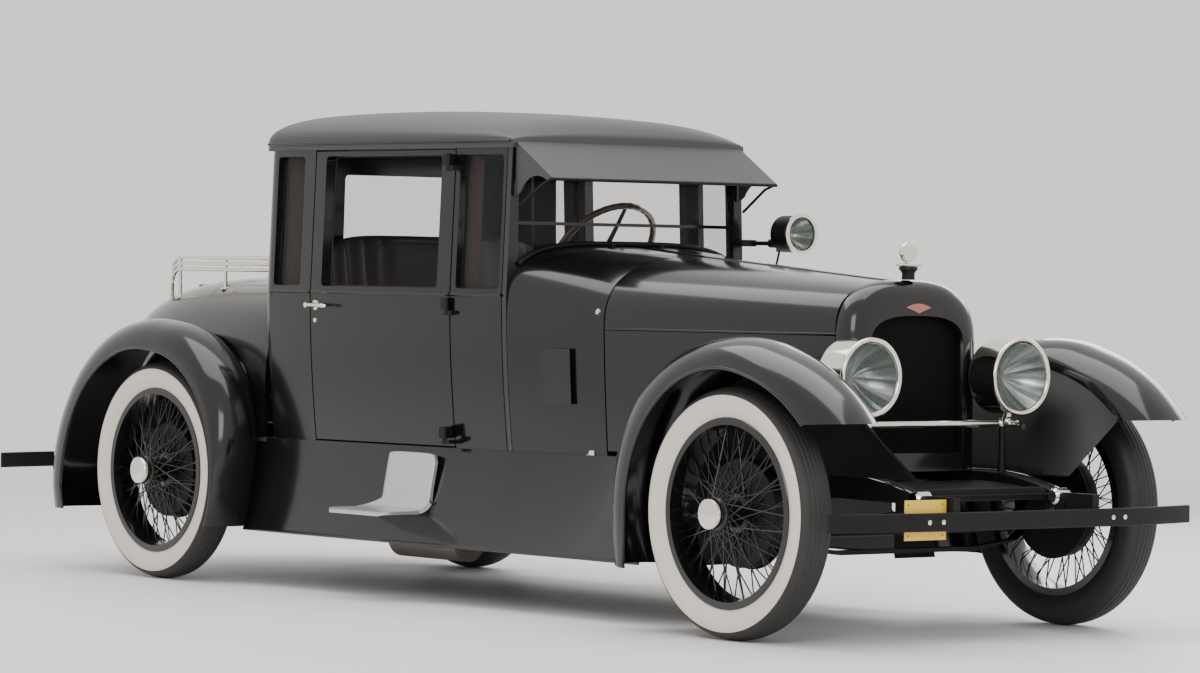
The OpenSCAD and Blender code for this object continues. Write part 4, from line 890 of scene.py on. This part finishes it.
def build_aprons():
    """Sheet from the body's sill down between the wings, with a rolled lower edge."""
    xs = np.linspace(APRON_FRONT, APRON_REAR, 72)
    part = wall(xs, np.linspace(APRON_LOW, FLOOR_TOP - 0.001, 24), 0, SHEET, apron_y)
    foot = tube(grid(xs, apron_y(xs, APRON_LOW) + SHEET / 2, APRON_LOW + 0.001), 0.006, 10)
    make("side_aprons", place(both(joined([part, foot]))), BODY, ENAMEL, ["splash_aprons"])


def build_steps():
    """Cast step: an L in section with a large fillet, wider at its tread than at its flange."""
    fillet, thick, flange_top = 0.045, 0.012, 0.524
    rows = []
    for back, tip in ((0.0, 1), (thick, 0.3)):
        inner = apron_y(STEP_X, 0.36) + SHEET + 0.0085 - back
        level = STEP_TOP - back
        down = np.array([(inner - 0.024, flange_top), (inner - 0.006, 0.42), (inner, level + fillet)])
        turn = np.linspace(0, np.pi / 2, 16)
        arc = np.stack([inner + fillet * (1 - np.cos(turn)), level + fillet * (1 - np.sin(turn))], -1)
        flat = np.stack([np.linspace(inner + fillet, STEP_OUT, 16)[1:], np.full(15, level)], -1)
        flat[-3:, 1] -= np.array([0.001, 0.005, 0.014]) * tip
        rows.append(np.vstack([down, arc, flat]))
    t = np.linspace(0, 1, len(rows[0]))
    grow = clamp((t - 0.15) / 0.3)[None]
    q = np.linspace(-1, 1, 34)
    round_top = 0.030 * (1 - dome(np.abs(q), 5))
    corner = clamp((t[None] - 0.80) / 0.2) ** 2
    low_x = mix(-2.106, -2.216, grow) + 0.050 * corner
    high_x = mix(-1.822, -1.850, grow) - 0.020 * corner
    x = mix(low_x, high_x, column(q * 0.5 + 0.5))
    grids = [grid(x, line[None, :, 0], line[None, :, 1] - column(round_top) * clamp(1 - t[None] / 0.1))
             for line in rows]
    make("cast_steps", place(both(shell(*grids))), BODY, ALUMINIUM, ["steps"], bevel=0.0015)


def arch(x, half, top, low):
    """Arched section of the radiator: straight sides, then a superellipse over the top."""
    a, shoulder = np.linspace(0, np.pi / 2 - 1e-4, 44)[None], 0.940
    half, top, low, x = column(half), column(top), column(low), column(x)
    y = np.concatenate([np.ones((1, 12)), np.cos(a) ** 0.7], 1)
    straight = mix(low, shoulder, np.linspace(0, 1, 12, endpoint=False)[None])
    z = np.concatenate([straight, shoulder + (top - shoulder) * np.sin(a) ** 0.7], 1)
    side = grid(x, half * y, z)
    return np.concatenate([side, side[:, ::-1] * [1, -1, 1]], 1)


def build_radiator():
    """Pressed shell whose crown rolls forward on a superellipse to the face round its core."""
    rear, low, rows = -0.034, 0.5313, 30
    s = np.linspace(0, 0.981, rows)
    drop = 1 - dome(s, 2.6)
    outer = arch(rear + 0.0805 * s, 0.288 - 0.085 * drop, 1.160 - 0.130 * drop, np.full(rows, low))
    face = arch([0.046, 0.0455, 0.040, 0.012], [0.215, 0.204, 0.200, 0.200], [1.052, 1.043, 1.039, 1.039],
                [0.56, 0.588, 0.592, 0.592])
    front = np.concatenate([outer, face])
    back = front - [0.004, 0, 0]
    back[..., 1] *= 0.985
    back[:rows, :, 2] -= 0.005 * (back[:rows, :, 2] > 0.9)
    part = shell(front.transpose(1, 0, 2), back.transpose(1, 0, 2))
    sill = block((rear, -0.2120, low), (0.043, 0.2120, 0.5915))
    make("radiator_cowl", place(joined([part, sill])), BODY, ENAMEL, ["radiator_shell"], angle=45)


def build_motor_meter():
    """Filler neck, winged cap, stem and the round dial above it."""
    x, z, span = -0.006, 1.161, 0.058
    profile = [(0, 0), (0, 0.022), (0.020, 0.021), (0.030, 0.026), (0.032, 0.031), (0.042, 0.031),
               (0.044, 0.024), (0.046, 0)]
    neck = lathe(profile, (x, 0, z), ALONG_Z, 48)
    make("radiator_neck", place(neck), BODY, SATIN, ["radiator_cap"])
    across = np.linspace(-1, 1, 15)
    wing_r = 0.002 + 0.007 * dome(across * 0.97, 1.4)
    wings = tube(grid(x, span * across, z + 0.047 + 0.004 * np.abs(across)), wing_r, 16)
    stem = [(0.044, 0), (0.044, 0.009), (0.052, 0.006), (0.062, 0.006), (0.066, 0)]
    dial = [(-0.009, 0), (-0.009, 0.033), (-0.006, 0.035), (0.006, 0.035), (0.009, 0.033), (0.007, 0.030),
            (0.0065, 0)]
    meter = [wings, lathe(stem, (x, 0, z), ALONG_Z, 24), lathe(dial, (x, 0, z + 0.092), ALONG_X, 56)]
    make("motor_meter", place(joined(meter)), BODY, NICKEL)


def build_badge():
    """Fan-shaped enamel plate: its upper edge falls by the square of the offset, its lower edge rises."""
    t, q = column(np.linspace(-1, 1, 40)), np.linspace(0, 1, 8)[None]
    z = mix(1.050 + 0.020 * np.abs(t) ** 0.8, 1.083 - 0.014 * t ** 2, q)
    x = 0.0475 - 0.30 * clamp(z - 1.060) ** 1.2
    badge = shell(grid(x + 0.003, 0.056 * t, z), grid(x - 0.004, 0.056 * t, z))
    make("radiator_badge", place(badge), BODY, BADGE)


def lamp(at, r, depth, cap, lens_r):
    """Drum, bezel and bowl profiles of one lamp, along +X from its lens."""
    turn = np.linspace(np.pi / 2, 0, 16)
    back = [(-depth - cap * math.sin(a), r * math.cos(a)) for a in turn]
    bezel = [(-0.016, r), (-0.016, r), (-0.014, r + 0.003), (-0.010, r + 0.004), (-0.004, r + 0.004),
             (0.0, r), (0.0, r - 0.004), (-0.003, lens_r + 0.003), (-0.006, lens_r), (-0.010, lens_r),
             (-0.010, lens_r - 0.001), (-0.014, lens_r + 0.001), (-depth + 0.012, lens_r * 0.55),
             (-depth + 0.006, 0)]
    share = np.linspace(1, 0, 14)
    bowl = np.stack([-0.012 - (depth - 0.030) * (1 - share ** 2), share * (lens_r - 0.002)], -1)
    bulb = [(0.028, 0), (0.030, 0.010), (0.050, 0.012), (0.062, 0.017), (0.074, 0.012), (0.078, 0)]
    bulb = np.array(bulb) - [depth, 0]
    return lathe(back + bezel, at, ALONG_X, 96), lathe(bowl, at, ALONG_X, 96), lathe(bulb, at, ALONG_X, 24)


def fluted_lens(at, r, bulge, pitch):
    """Lens front: a shallow dome with upright flutes, closed by a flat back."""
    rad, a = column(np.linspace(0, 1, 26)), np.linspace(0, 2 * np.pi, 180, endpoint=False)[None]
    y, z = r * rad * np.cos(a), r * rad * np.sin(a)
    flute = 0.0007 * np.cos(2 * np.pi * y / pitch) * clamp((0.96 - rad) / 0.1)
    front = grid(bulge * (1 - rad ** 2) + flute - 0.006, y, z) + at
    back = grid(-0.0085, y, z) + at
    edge = np.stack([front[-1], back[-1]])
    return joined([quads(face, False, True) for face in (front, back, edge)])


def build_headlights():
    """Both headlamps; the lenses are one piece with the spotlight's."""
    drum, bowl, bulb = lamp(LAMP, 0.125, 0.122, 0.052, 0.112)
    make("headlight_drums", place(both(drum)), BODY, NICKEL, ["headlights"], angle=50)
    make("headlight_bowls", place(both(bowl)), BODY, lamp_reflector_painted_rays("lamp_reflector_painted_rays", LAMP))
    make("headlight_bulbs", place(both(bulb)), BODY, LENS)
    lenses = both(fluted_lens(LAMP, 0.1115, 0.010, 0.014))
    spot_lens = fluted_lens(SPOT, 0.0595, 0.006, 0.012)
    make("lamp_lenses", place(joined([lenses, spot_lens])), BODY, LENS, ["headlight_lenses"])


def build_spotlight():
    """Spotlight on an arm from the windscreen post, with its swivel, handle and clamp."""
    drum, bowl = lamp(SPOT, 0.066, 0.096, 0.024, 0.060)[:2]
    bezel = lathe([(-0.016, 0.0655), (-0.014, 0.070), (-0.008, 0.0755), (-0.001, 0.0755), (0.001, 0.070),
                   (0.0, 0.0605), (-0.008, 0.0600), (-0.012, 0.0655)], SPOT, ALONG_X, 72)
    x, y, z = SPOT[0], SPOT[1], SPOT[2] - 0.034
    post_x, foot = POST_X - 0.013, 0.012
    post_y = float(side_y(post_x, z - foot))
    bracket = [tube([(post_x, y, z), (x - 0.085, y, z)], 0.008, 16),
               block((post_x - 0.010, post_y + SEAT, z - foot), (post_x + 0.010, y + 0.008, z + foot)),
               peg(-0.03, 0.03, 0.012, (x - 0.125, y, z), ALONG_Z, 24),
               tube([(x - 0.125, y, z - 0.028), (x - 0.14, y, z - 0.075)], 0.004, 10),
               peg(-0.014, 0.014, 0.016, (x - 0.160, y, z), ALONG_X, 24)]
    lamp_and_arm = joined([drum] + bracket)
    make("spotlight_drum", place(lamp_and_arm), BODY, SATIN, ["spotlight"], angle=50)
    make("spotlight_bezel", place(bezel), BODY, NICKEL)
    make("spotlight_bowl", place(bowl), BODY, lamp_reflector_painted_rays("spotlight_reflector_painted_rays", SPOT))


def build_lamp_bar():
    """Bar across the front with a foot and clamp bolt under each lamp, on two posts from the frame."""
    x, y, z, bolt_z = LAMP_BAR_X, LAMP[1], LAMP_BAR_Z, 0.680
    foot = [(0.0, 0), (0.0, 0.022), (0.010, 0.020), (0.020, 0.012), (0.024, 0)]
    nut = [(-0.045, 0), (-0.045, 0.017), (-0.039, 0.019), (-0.033, 0.017), (-0.033, 0)]
    feet = [lathe(foot, (x, y, z + 0.007), ALONG_Z, 32), lathe(nut, (x, y, z), ALONG_Y, 6),
            tube([(x, y + 0.02, z), (x + 0.035, y + 0.03, bolt_z)], 0.006, 10),
            peg(0, 0.012, 0.011, (x + 0.030, y + 0.030, bolt_z), ALONG_X, 6)]
    make("lamp_feet", place(both(joined(feet))), BODY, NICKEL)
    bar = [tube([(x, across, z) for across in (-LAMP_BAR_HALF, -0.2, 0, 0.2, LAMP_BAR_HALF)], 0.012, 20),
           both(tube([(x, y, z), (x, y, LAMP[2] - 0.1253)], 0.015, 20))]
    make("headlight_cross_bar", place(joined(bar)), BODY, NICKEL, ["headlight_bar"])
    posts = tube([(x, SPRING_Y, height) for height in (0.5303, 0.600, 0.682)], [0.015, 0.012, 0.012], 20)
    make("lamp_posts", place(both(posts)), BODY, SATIN)


def rail_top(x):
    """Height of the frame rail's top: level, then falling by a parabola to the front."""
    return RAIL_TOP - HORN_DROP * clamp((x - HORN_X) / (HORN_END - HORN_X)) ** 2


def build_chassis():
    """Frame rails that curve down to bright spring eyes in front, and their cross members; a thin bright
    strip along each horn's top is a painted highlight.
    """
    x = np.concatenate([np.linspace(-4.243, HORN_X, 50, endpoint=False), np.linspace(HORN_X, HORN_END, 24)])
    fall = clamp((x - HORN_X) / (HORN_END - HORN_X))
    top, low, outer = rail_top(x), RAIL_LOW - 0.004 * fall, frame_y(x) - 0.0001 * fall
    ring = [(0, 0), (0, 1), (1, 1), (1, 0)]
    rail = np.stack([grid(x, outer - RAIL_W * i, mix(low, top, j)) for i, j in ring], 1)
    parts = [both(joined([quads(rail, False, True)] + [quads(rail[e][[[0, 1], [3, 2]]]) for e in (0, -1)]))]
    for at in (0.350, -0.200, -0.760, -1.500, -2.300, -WHEELBASE - 0.350, -4.208):
        half = float(frame_y(at)) - 0.059
        parts.append(block((at - 0.030, -half, 0.4502), (at + 0.030, half, 0.490)))
    for at in (-WHEELBASE - 0.600, -WHEELBASE + 0.600):
        parts.append(both(block((at - 0.020, 0.404, 0.4503), (at + 0.020, 0.485, 0.500))))
    make("chassis_frame", place(joined(parts)), BODY, SATIN, ["frame"], bevel=0.002)
    eye = lathe([(-0.034, 0), (-0.034, 0.020), (-0.026, 0.027), (0.026, 0.027), (0.034, 0.020), (0.034, 0)],
                (0.408, SPRING_Y, 0.462), ALONG_Y, 40)
    # A thin nickel strip along the top of each front horn is a painted highlight on the rail's edge.
    x = np.linspace(-0.06, HORN_END, 30)
    horn_highlight_strip = tube(grid(x, 0.333, rail_top(x) + 0.002), 0.0035, 8)
    make("spring_eyes_and_highlight_strips", place(both(joined([eye, horn_highlight_strip]))), BODY, NICKEL)


def build_front_axle():
    """I-beam: one outline of y and z, pulled in towards its middle on both faces, and two kingpin bosses."""
    half_beam = [(0, 0.262), (0.300, 0.262), (0.480, 0.292), (0.570, 0.3665), (0.620, 0.3665),
                 (0.620, 0.4445), (0.558, 0.4445), (0.460, 0.350), (0.300, 0.350), (0, 0.350)]
    outline = np.array([(-y, z) for y, z in half_beam[:0:-1]] + half_beam[:-1])
    middle = np.array([0, 0.31])
    rows = []
    for depth, shrink in ((-0.022, 0), (-0.022, 1), (-0.009, 1)):
        pulled = outline - [0, 1] * (outline - middle) * 0.30 * shrink
        rows.append(grid(depth, pulled[:, 0], pulled[:, 1]))
    web = np.concatenate([np.stack(rows), np.stack([row * [-1, 1, 1] for row in rows[::-1]])])
    ring = [(-0.047, 0.0122), (-0.047, 0.024), (0.047, 0.024), (0.047, 0.0122)]
    boss = lathe(ring, (0, 0.620, AXLE_Z), ALONG_Z, 40)
    beam = joined([quads(web, True, True), both(boss)])
    make("front_axle_beam", place(beam), BODY, SATIN, ["front_axle"])


def build_front_pan():
    """Pan between the frame rails in front of the radiator, falling by a parabola."""
    rear, front = HORN_X + 0.005, 0.395
    x, y = column(np.linspace(rear, front, 16)), np.linspace(-0.274, 0.274, 12)[None]
    z = 0.500 - 0.030 * ((x - rear) / (front - rear)) ** 2
    make("front_pan", place(shell(grid(x, y, z), grid(x, y, z - 0.003))), BODY, SATIN)


def build_curtains():
    """Gathered blinds inside the small windows: a plain cloth whose folds are a sine wave."""
    low, height, rows = 1.095, 0.495, 30
    inward, depth, thick = 0.056, 0.0075, 0.0012
    z = np.linspace(low, low + height, rows)[None]
    for name, x0, x1, folds in (("front", DOOR_FRONT + 0.012, DOOR_FRONT + 0.075, 5),
                                ("rear", DOOR_REAR - 0.245, DOOR_REAR - 0.105, 11)):
        t = column(np.linspace(0, 1, 20 * folds))
        x = mix(x0, x1, t) + 0 * z
        fold = np.sin(2 * np.pi * folds * t + 0.6 * np.sin(9 * z)) * (0.75 + 0.25 * np.sin(3 * z + 2 * t))
        y = side_y(x, z) - inward + depth * fold
        front, back = grid(x, y, z), grid(x, y - thick, z)
        for side, s in SIDES:
            cloth = make(f"{name}_{side}_curtain", place(shell(front, back), s), BODY, CURTAIN)


def bumper_line(y):
    """How far the bumper bar curls back at y: straight between its arms, then a parabola."""
    straight = 0.300
    return 0.067 * clamp((np.abs(y) - straight) / (BUMPER_HALF - straight)) ** 2


def build_bumpers():
    """Flat bars with chamfered edges, each on two arms from the frame, with two bolts at each arm."""
    y, thick = column(np.linspace(-BUMPER_HALF, BUMPER_HALF, 90)), 0.012
    edge, middle = 0.0265, 0.0295
    half = [(0.0, -edge), (0.0, edge), (-0.003, middle), (-0.009, middle)]
    dx, dz = np.array(half + [(-thick - back, -high) for back, high in half]).T[:, None]
    bolt = [(-0.002, 0), (-0.002, 0.0085), (0.004, 0.008), (0.006, 0.004), (0.0065, 0)]
    for name, face, s, arm_y, frame_end in (("front", 0.590, 1, SPRING_Y, HORN_END),
                                            ("rear", -4.500, -1, 0.360, -4.2433)):
        bar = grid(face - s * bumper_line(y) + s * dx, y, BUMPER_Z + dz)
        ends = [stack(bar[i, [7, 6, 5, 4]], bar[i, [0, 1, 2, 3]]) for i in (0, -1)]
        low, high = sorted((face - s * thick, frame_end))
        arms = both(block((low, arm_y - 0.015, 0.375), (high, arm_y + 0.015, 0.475)))
        make(f"{name}_bumper_bar", place(joined([quads(bar, False, True)] + ends + [arms])),
             BODY, SATIN, [f"{name}_bumper"], bevel=0.0008)
        bolts = [lathe(bolt, (face - s * float(bumper_line(at)), at, BUMPER_Z), (s, 0, 0), 20)
                 for at in (0.372, 0.428, -0.372, -0.428)]
        make(f"{name}_bumper_bolts", place(joined(bolts)), BODY, NICKEL)


# Wheels -------------------------------------------------------------------------------------
def wheel_at(x, s):
    """Centre of a wheel measured from the front axle, and the direction away from the car."""
    return (x - FRONT_X, s * TRACK / 2, AXLE_Z), (0, s, 0)


def build_tyre(body, x, s):
    """Tyre turned about the axle: a rounded, grooved tread on walls that swell by a power, cream outside."""
    turn, sides, bead = np.linspace(-np.pi / 2, np.pi / 2, 73), 128, RIM_R + 0.002
    mid = (AXLE_Z + RIM_R) / 2
    along = TYRE_HALF * np.sin(turn)
    grooved = (np.cos(2 * np.pi * along / 0.017) > 0.72) * (np.abs(along) < 0.046)
    radius = mid + (AXLE_Z - mid) * (np.cos(turn) + 1e-4) ** 0.62 - 0.0028 * grooved
    side_in, side_out = np.linspace(bead, mid, 12, endpoint=False), np.linspace(mid, bead, 13)[1:]
    swell_in, swell_out = [TYRE_HALF - 0.020 * clamp((mid - r) / (mid - RIM_R)) ** 1.8
                           for r in (side_in, side_out)]
    foot = (-0.046, RIM_R - 0.0147)
    profile = np.vstack([[foot], np.stack([-swell_in, side_in], -1), np.stack([along, radius], -1),
                         np.stack([swell_out, side_out], -1), [(-foot[0], foot[1]), foot]])
    white = (profile[:, 0] > 0.02) & (profile[:, 1] < 0.3785) & (profile[:, 1] > RIM_R)
    make(f"{body}_tyre_carcass", place(lathe(profile, *wheel_at(x, s), sides)), body, RUBBER,
         [body.replace("_wheel", "_tyre")], values={"white": np.repeat(white, sides)}, angle=60)


def build_wheel(body, x, s):
    """Wire wheel, outward along s: rim, hub, four rings of crossed wires, brake drum and cap."""
    at, out = wheel_at(x, s)
    lip = 0.052
    rim = [(-lip, 0.282), (-lip, RIM_R), (-lip + 0.005, RIM_R), (-lip + 0.005, 0.292), (-0.020, 0.290),
           (0.020, 0.290), (lip - 0.005, 0.292), (lip - 0.005, RIM_R), (lip - 0.002, RIM_R + 0.001),
           (lip, RIM_R - 0.001), (lip, 0.284), (0.030, 0.279), (0.0, 0.276), (-0.030, 0.279), (-lip, 0.282)]
    hub = [(-0.004, 0), (-0.004, 0.060), (0.004, 0.062), (0.010, 0.045), (0.070, 0.036), (0.078, 0.050),
           (0.088, 0.052), (0.094, 0.044), (0.116, 0.044), (0.116, 0)]
    drum = [(-0.048, 0), (-0.048, 0.167), (-0.048, 0.175), (-0.044, 0.177), (-0.008, 0.175), (-0.004, 0.165),
            (-0.002, 0)]
    cap = [(0.104, 0), (0.104, 0.050), (0.108, 0.052), (0.122, 0.051), (0.127, 0.048), (0.128, 0.034),
           (0.1285, 0.033), (0.1305, 0.030), (0.1315, 0.020), (0.132, 0)]
    parts, count, wire_r, foot_r = [lathe(rim, at, out, 128), lathe(hub, at, out, 64)], 18, 0.0024, 0.281
    rings = ((0.083, 0.047, 0.012, 46, 0.0), (0.083, 0.047, 0.012, -46, 0.5),
             (0.002, 0.056, -0.010, 40, 0.25), (0.002, 0.056, -0.010, -40, 0.75))
    for head_t, head_r, foot_t, lean, shift in rings:
        foot = np.radians((np.arange(count) + shift) * 360 / count)
        head = foot + np.radians(lean)
        heads = grid(head_r * np.cos(head), s * head_t, head_r * np.sin(head))
        feet = grid(foot_r * np.cos(foot), s * foot_t, foot_r * np.sin(foot))
        parts += [tube(np.array(wire) + at, wire_r, 8) for wire in zip(heads, feet)]
    make(f"{body}_wires", place(joined(parts)), body, ENAMEL, [body], angle=45)
    make(f"{body}_drum", place(lathe(drum, at, out, 96)), body, SATIN)
    make(f"{body}_hub_cap", place(lathe(cap, at, out, 64)), body, NICKEL, angle=30)


# Cab fittings and rack ----------------------------------------------------------------------
def signed_power(t):
    """t to the superellipsoid's power, with its sign kept."""
    return np.sign(t) * np.abs(t) ** 0.28


def cushion(low, high, pleats, axis):
    """Stuffed block: a superellipsoid whose face along an axis swells between sewn pleats."""
    low, high = np.array(low), np.array(high)
    u = column(np.linspace(-np.pi / 2, np.pi / 2, 60))
    v = np.linspace(-np.pi, np.pi, 200, endpoint=False)[None]
    ring = signed_power(np.cos(u))
    unit = grid(ring * signed_power(np.cos(v)), ring * signed_power(np.sin(v)), signed_power(np.sin(u)))
    groove = np.abs(np.sin(unit[..., 1] * pleats * np.pi / 2)) ** 0.35
    face = np.clip(unit[..., axis], 0, 1)
    points = (low + high) / 2 + unit * ((high - low) / 2 - 0.004 * np.eye(3)[axis])
    points[..., axis] += (groove - 1) * 0.012 * face * (np.abs(unit[..., 1]) < 0.97)
    return quads(points, False, True)


def build_interior():
    """Pleated seat and its leaning back, and the dials on the dashboard."""
    seat_z, pleats = SILL + 0.1503, 12
    seat = cushion((-2.495, -0.494, seat_z), (-2.044, 0.494, seat_z + 0.168), pleats, 2)
    pad = make("seat_cushion_cover", place(seat), BODY, HIDE, ["seat_cushion"], angle=70)
    points, faces = cushion((-0.060, -0.500, 0.0), (0.060, 0.500, 0.75), pleats, 0)
    lean = np.radians(8.5)
    x, y, z = points.T
    leaning = grid(x * np.cos(lean) - z * np.sin(lean) - 2.570, y,
                   z * np.cos(lean) + x * np.sin(lean) + SILL + 0.005)
    rest = make("seat_back_cover", place((leaning, faces)), BODY, HIDE, ["seat_back"], angle=70)
    dial = [(0.0, 0), (0.0, 0.036), (0.006, 0.040), (0.010, 0.038), (0.009, 0.033), (0.006, 0)]
    dials = [lathe(dial, (POST_X - 0.0517, y, 1.155), (-1, 0, 0), 40) for y in (0.0, 0.11, 0.24, -0.12)]
    make("dash_dials", place(joined(dials)), BODY, NICKEL)


def build_steering():
    """Wood-rimmed wheel with finger grips underneath, four arms and a domed boss."""
    d = np.array([-math.cos(COLUMN_TILT), 0, math.sin(COLUMN_TILT)])
    hub = np.array(WHEEL_HUB)
    side, up = np.array([0, 1.0, 0]), np.cross(d, [0, 1.0, 0])
    a, grips = np.linspace(0, 2 * np.pi, 144, endpoint=False), 36
    ring = hub + 0.207 * (column(np.cos(a)) * side + column(np.sin(a)) * up)
    rim = tube(ring, 0.0125 - 0.0010 * (np.cos(a * grips) > 0.3), 20, closed=True)
    make("steering_rim", place(rim), "steering_wheel", RIM_WOOD, ["steering_wheel"])
    arms = []
    for k in range(4):
        way = math.cos(k * math.pi / 2) * side + math.sin(k * math.pi / 2) * up
        arms.append(tube([hub - 0.008 * d + way * 0.02, hub - 0.006 * d + way * 0.11, hub + way * 0.203],
                         [0.010, 0.008, 0.007], 12))
    boss = lathe([(-0.034, 0), (-0.034, 0.034), (0.004, 0.034), (0.012, 0.026), (0.014, 0)], hub, d, 48)
    make("steering_arms", place(joined(arms + [boss])), "steering_wheel", SATIN)


def deck_height(x, y):
    """Height of the deck's skin at x and y, from its section's superellipse of power 4."""
    half, rise = deck_size(np.array(x))
    return SILL + float(rise) * (1 - (y / float(half)) ** 4) ** 0.25


def build_rack():
    """Three rails each side that turn down at the back, two cross rails and flat slats."""
    half, turn_r = RACK_HALF, 0.055
    rear = RACK_REAR - turn_r
    turn = np.linspace(0, np.pi / 2, 14)
    parts = []
    for z in (RACK_TOP, RACK_TOP - 0.022, RACK_TOP - 0.044):
        straight = [(mix(RACK_FRONT, RACK_REAR, t), half, z) for t in (0, 0.25, 0.5, 0.75)]
        bend = grid(RACK_REAR - turn_r * np.sin(turn), half, z - turn_r * (1 - np.cos(turn)))
        parts.append(tube(np.vstack([straight, bend, [(rear, half, deck_height(rear, half))]]), 0.007, 12))
    flange = [(0, 0), (0, 0.020), (0.004, 0.019), (0.006, 0.009), (0.007, 0)]
    for x in (RACK_FRONT, (RACK_FRONT + RACK_REAR) / 2, RACK_REAR):
        foot = deck_height(x, half)
        parts.append(tube([(x, half, foot - 0.002), (x, half, RACK_TOP + 0.007)], 0.0075, 12))
        parts.append(lathe(flange, (x, half, foot - 0.001), ALONG_Z, 28))
    cross = [tube([(x, -half, RACK_TOP), (x, half, RACK_TOP)], 0.0068, 12) for x in (RACK_FRONT, RACK_REAR)]
    slats = [block((RACK_REAR - 0.010, y - 0.012, RACK_TOP + 0.004),
                   (RACK_FRONT + 0.010, y + 0.012, RACK_TOP + 0.010)) for y in np.linspace(-0.25, 0.25, 5)]
    rack = joined([both(joined(parts))] + cross + slats)
    make("rack_rails", place(rack), BODY, NICKEL, ["luggage_rack"])


def build_trim():
    """Visor's wire edge and stays, bright catches and sill plates, and the scuttle's spine and brackets."""
    x, z = POST_X + 0.0073, 1.490
    visor = [tube([(x + 0.204, y, z) for y in (-0.507, -0.25, 0, 0.25, 0.507)], 0.006, 12)]
    visor += [tube([(x + 0.190, s * 0.500, z - 0.003), (x + 0.150, s * 0.500, z - 0.015),
                    (x + 0.02, s * 0.508, z - 0.095)], 0.005, 10) for s in (1, -1)]
    make("visor_edge_and_stays", place(joined(visor)), BODY, SATIN)
    catch_at = (SEAM_X - 0.028, float(side_y(SEAM_X, 1.0)) - 0.002, 1.035)
    catch = lathe([(-0.002, 0), (-0.002, 0.012), (0.008, 0.010), (0.011, 0)], catch_at, (0, 1, 0.3), 24)
    x, z = SEAM_X - 0.074, 0.552
    y = float(side_y(x, z))
    plate = block((x - 0.022, y - 0.002, z - 0.008), (x + 0.022, y + 0.0015, z + 0.008))
    make("sill_plates_and_catches", place(both(joined([catch, plate]))), BODY, NICKEL)
    centre = np.linspace(SEAM_X - 0.004, POST_X + 0.03, 30)
    spine = tube(grid(centre, 0, crown(centre)[0] + 0.001), 0.004, 8)
    x = -1.43
    top = float(crown(x)[0])
    brackets = [block((x - 0.012, y - 0.008, top - 0.004), (x + 0.012, y + 0.008, top + 0.010))
                for y in (0.10, -0.12)]
    make("scuttle_spine_and_brackets", place(joined([spine] + brackets)), BODY, SATIN)


for step in (build_hood, build_cowl, build_sides, build_doors, build_back, build_roof, build_deck,
             build_wings, build_aprons, build_steps, build_chassis, build_front_axle, build_front_pan,
             build_curtains, build_radiator, build_motor_meter, build_badge, build_headlights,
             build_spotlight, build_lamp_bar, build_bumpers, build_interior, build_steering, build_rack,
             build_trim):
    step()
for end, x in (("front", FRONT_X), ("rear", REAR_X)):
    for name, s in SIDES:
        build_tyre(f"{end}_{name}_wheel", x, s)
        build_wheel(f"{end}_{name}_wheel", x, s)


# Studio -------------------------------------------------------------------------------------
def build_floor():
    """Pale disc under the car that fades out into the backdrop far from it."""
    a = np.linspace(0, 2 * np.pi, 96, endpoint=False)[None]
    r = column(np.linspace(0.0, 16.0, 12))
    mesh = bpy.data.meshes.new("studio_floor")
    points, faces = quads(grid(r * np.cos(a), r * np.sin(a), 0), False, True)
    mesh.from_pydata(points, [], faces)
    floor = placed_object("studio_floor", mesh)
    f = Finish("pale_floor", (0.80, 0.79, 0.785), Roughness=0.5)
    away = f.node("ShaderNodeVectorMath", {"operation": "LENGTH"}, {0: f.where()}, output="Value")
    fade = f.node("ShaderNodeMapRange", {"interpolation_type": "SMOOTHSTEP"},
                  {"Value": away, "From Min": 5.0, "From Max": 14.0, "To Min": 1.0, "To Max": 0.0})
    f.feed("Alpha", fade)
    mesh.materials.append(f.material)


def build_world():
    """Even, slightly warm light from all round."""
    world = bpy.data.worlds.new("studio")
    bpy.context.scene.world = world
    world.use_nodes = True
    sky = world.node_tree.nodes["Background"].inputs
    sky["Color"].default_value, sky["Strength"].default_value = (1.0, 0.968, 0.945, 1), 1.15


def build_light(name, at, size, watts):
    """Soft box aimed at the middle of the car."""
    light = bpy.data.lights.new(name, "AREA")
    light.shape, light.size, light.size_y, light.energy = "RECTANGLE", size[0], size[1], watts
    holder = placed_object(name, light)
    holder.location = at
    holder.rotation_euler = (Vector((0, 0, 0.6)) - Vector(at)).to_track_quat("-Z", "Y").to_euler()
    holder.visible_camera = False


def build_camera():
    """Long lens at bonnet height, off the car's front right corner, rolled by under a degree."""
    yaw, pitch, roll = math.radians(141.76), math.radians(0.789), math.radians(0.816)
    ahead = Vector((math.cos(yaw) * math.cos(pitch), math.sin(yaw) * math.cos(pitch), -math.sin(pitch)))
    right = ahead.cross(Vector((0, 0, 1))).normalized()
    up = right.cross(ahead)
    turned_right = math.cos(roll) * right + math.sin(roll) * up
    turned_up = math.cos(roll) * up - math.sin(roll) * right
    data = bpy.data.cameras.new("camera")
    data.lens, data.sensor_width = 140.88, 36
    camera = placed_object("camera", data)
    camera.matrix_world = Matrix((turned_right, turned_up, -ahead)).transposed().to_4x4()
    camera.location = (11.5148 + FRONT_X, -10.3677, 1.1728)
    bpy.context.scene.camera = camera


build_floor()
build_world()
build_light("overhead", (0.3, -0.4, 5.2), (7.0, 4.0), 300)
build_light("front_right", (6.0, -5.0, 3.6), (3.0, 3.0), 160)
build_light("left_rim", (-1.0, 6.0, 3.4), (6.0, 2.0), 150)
build_camera()
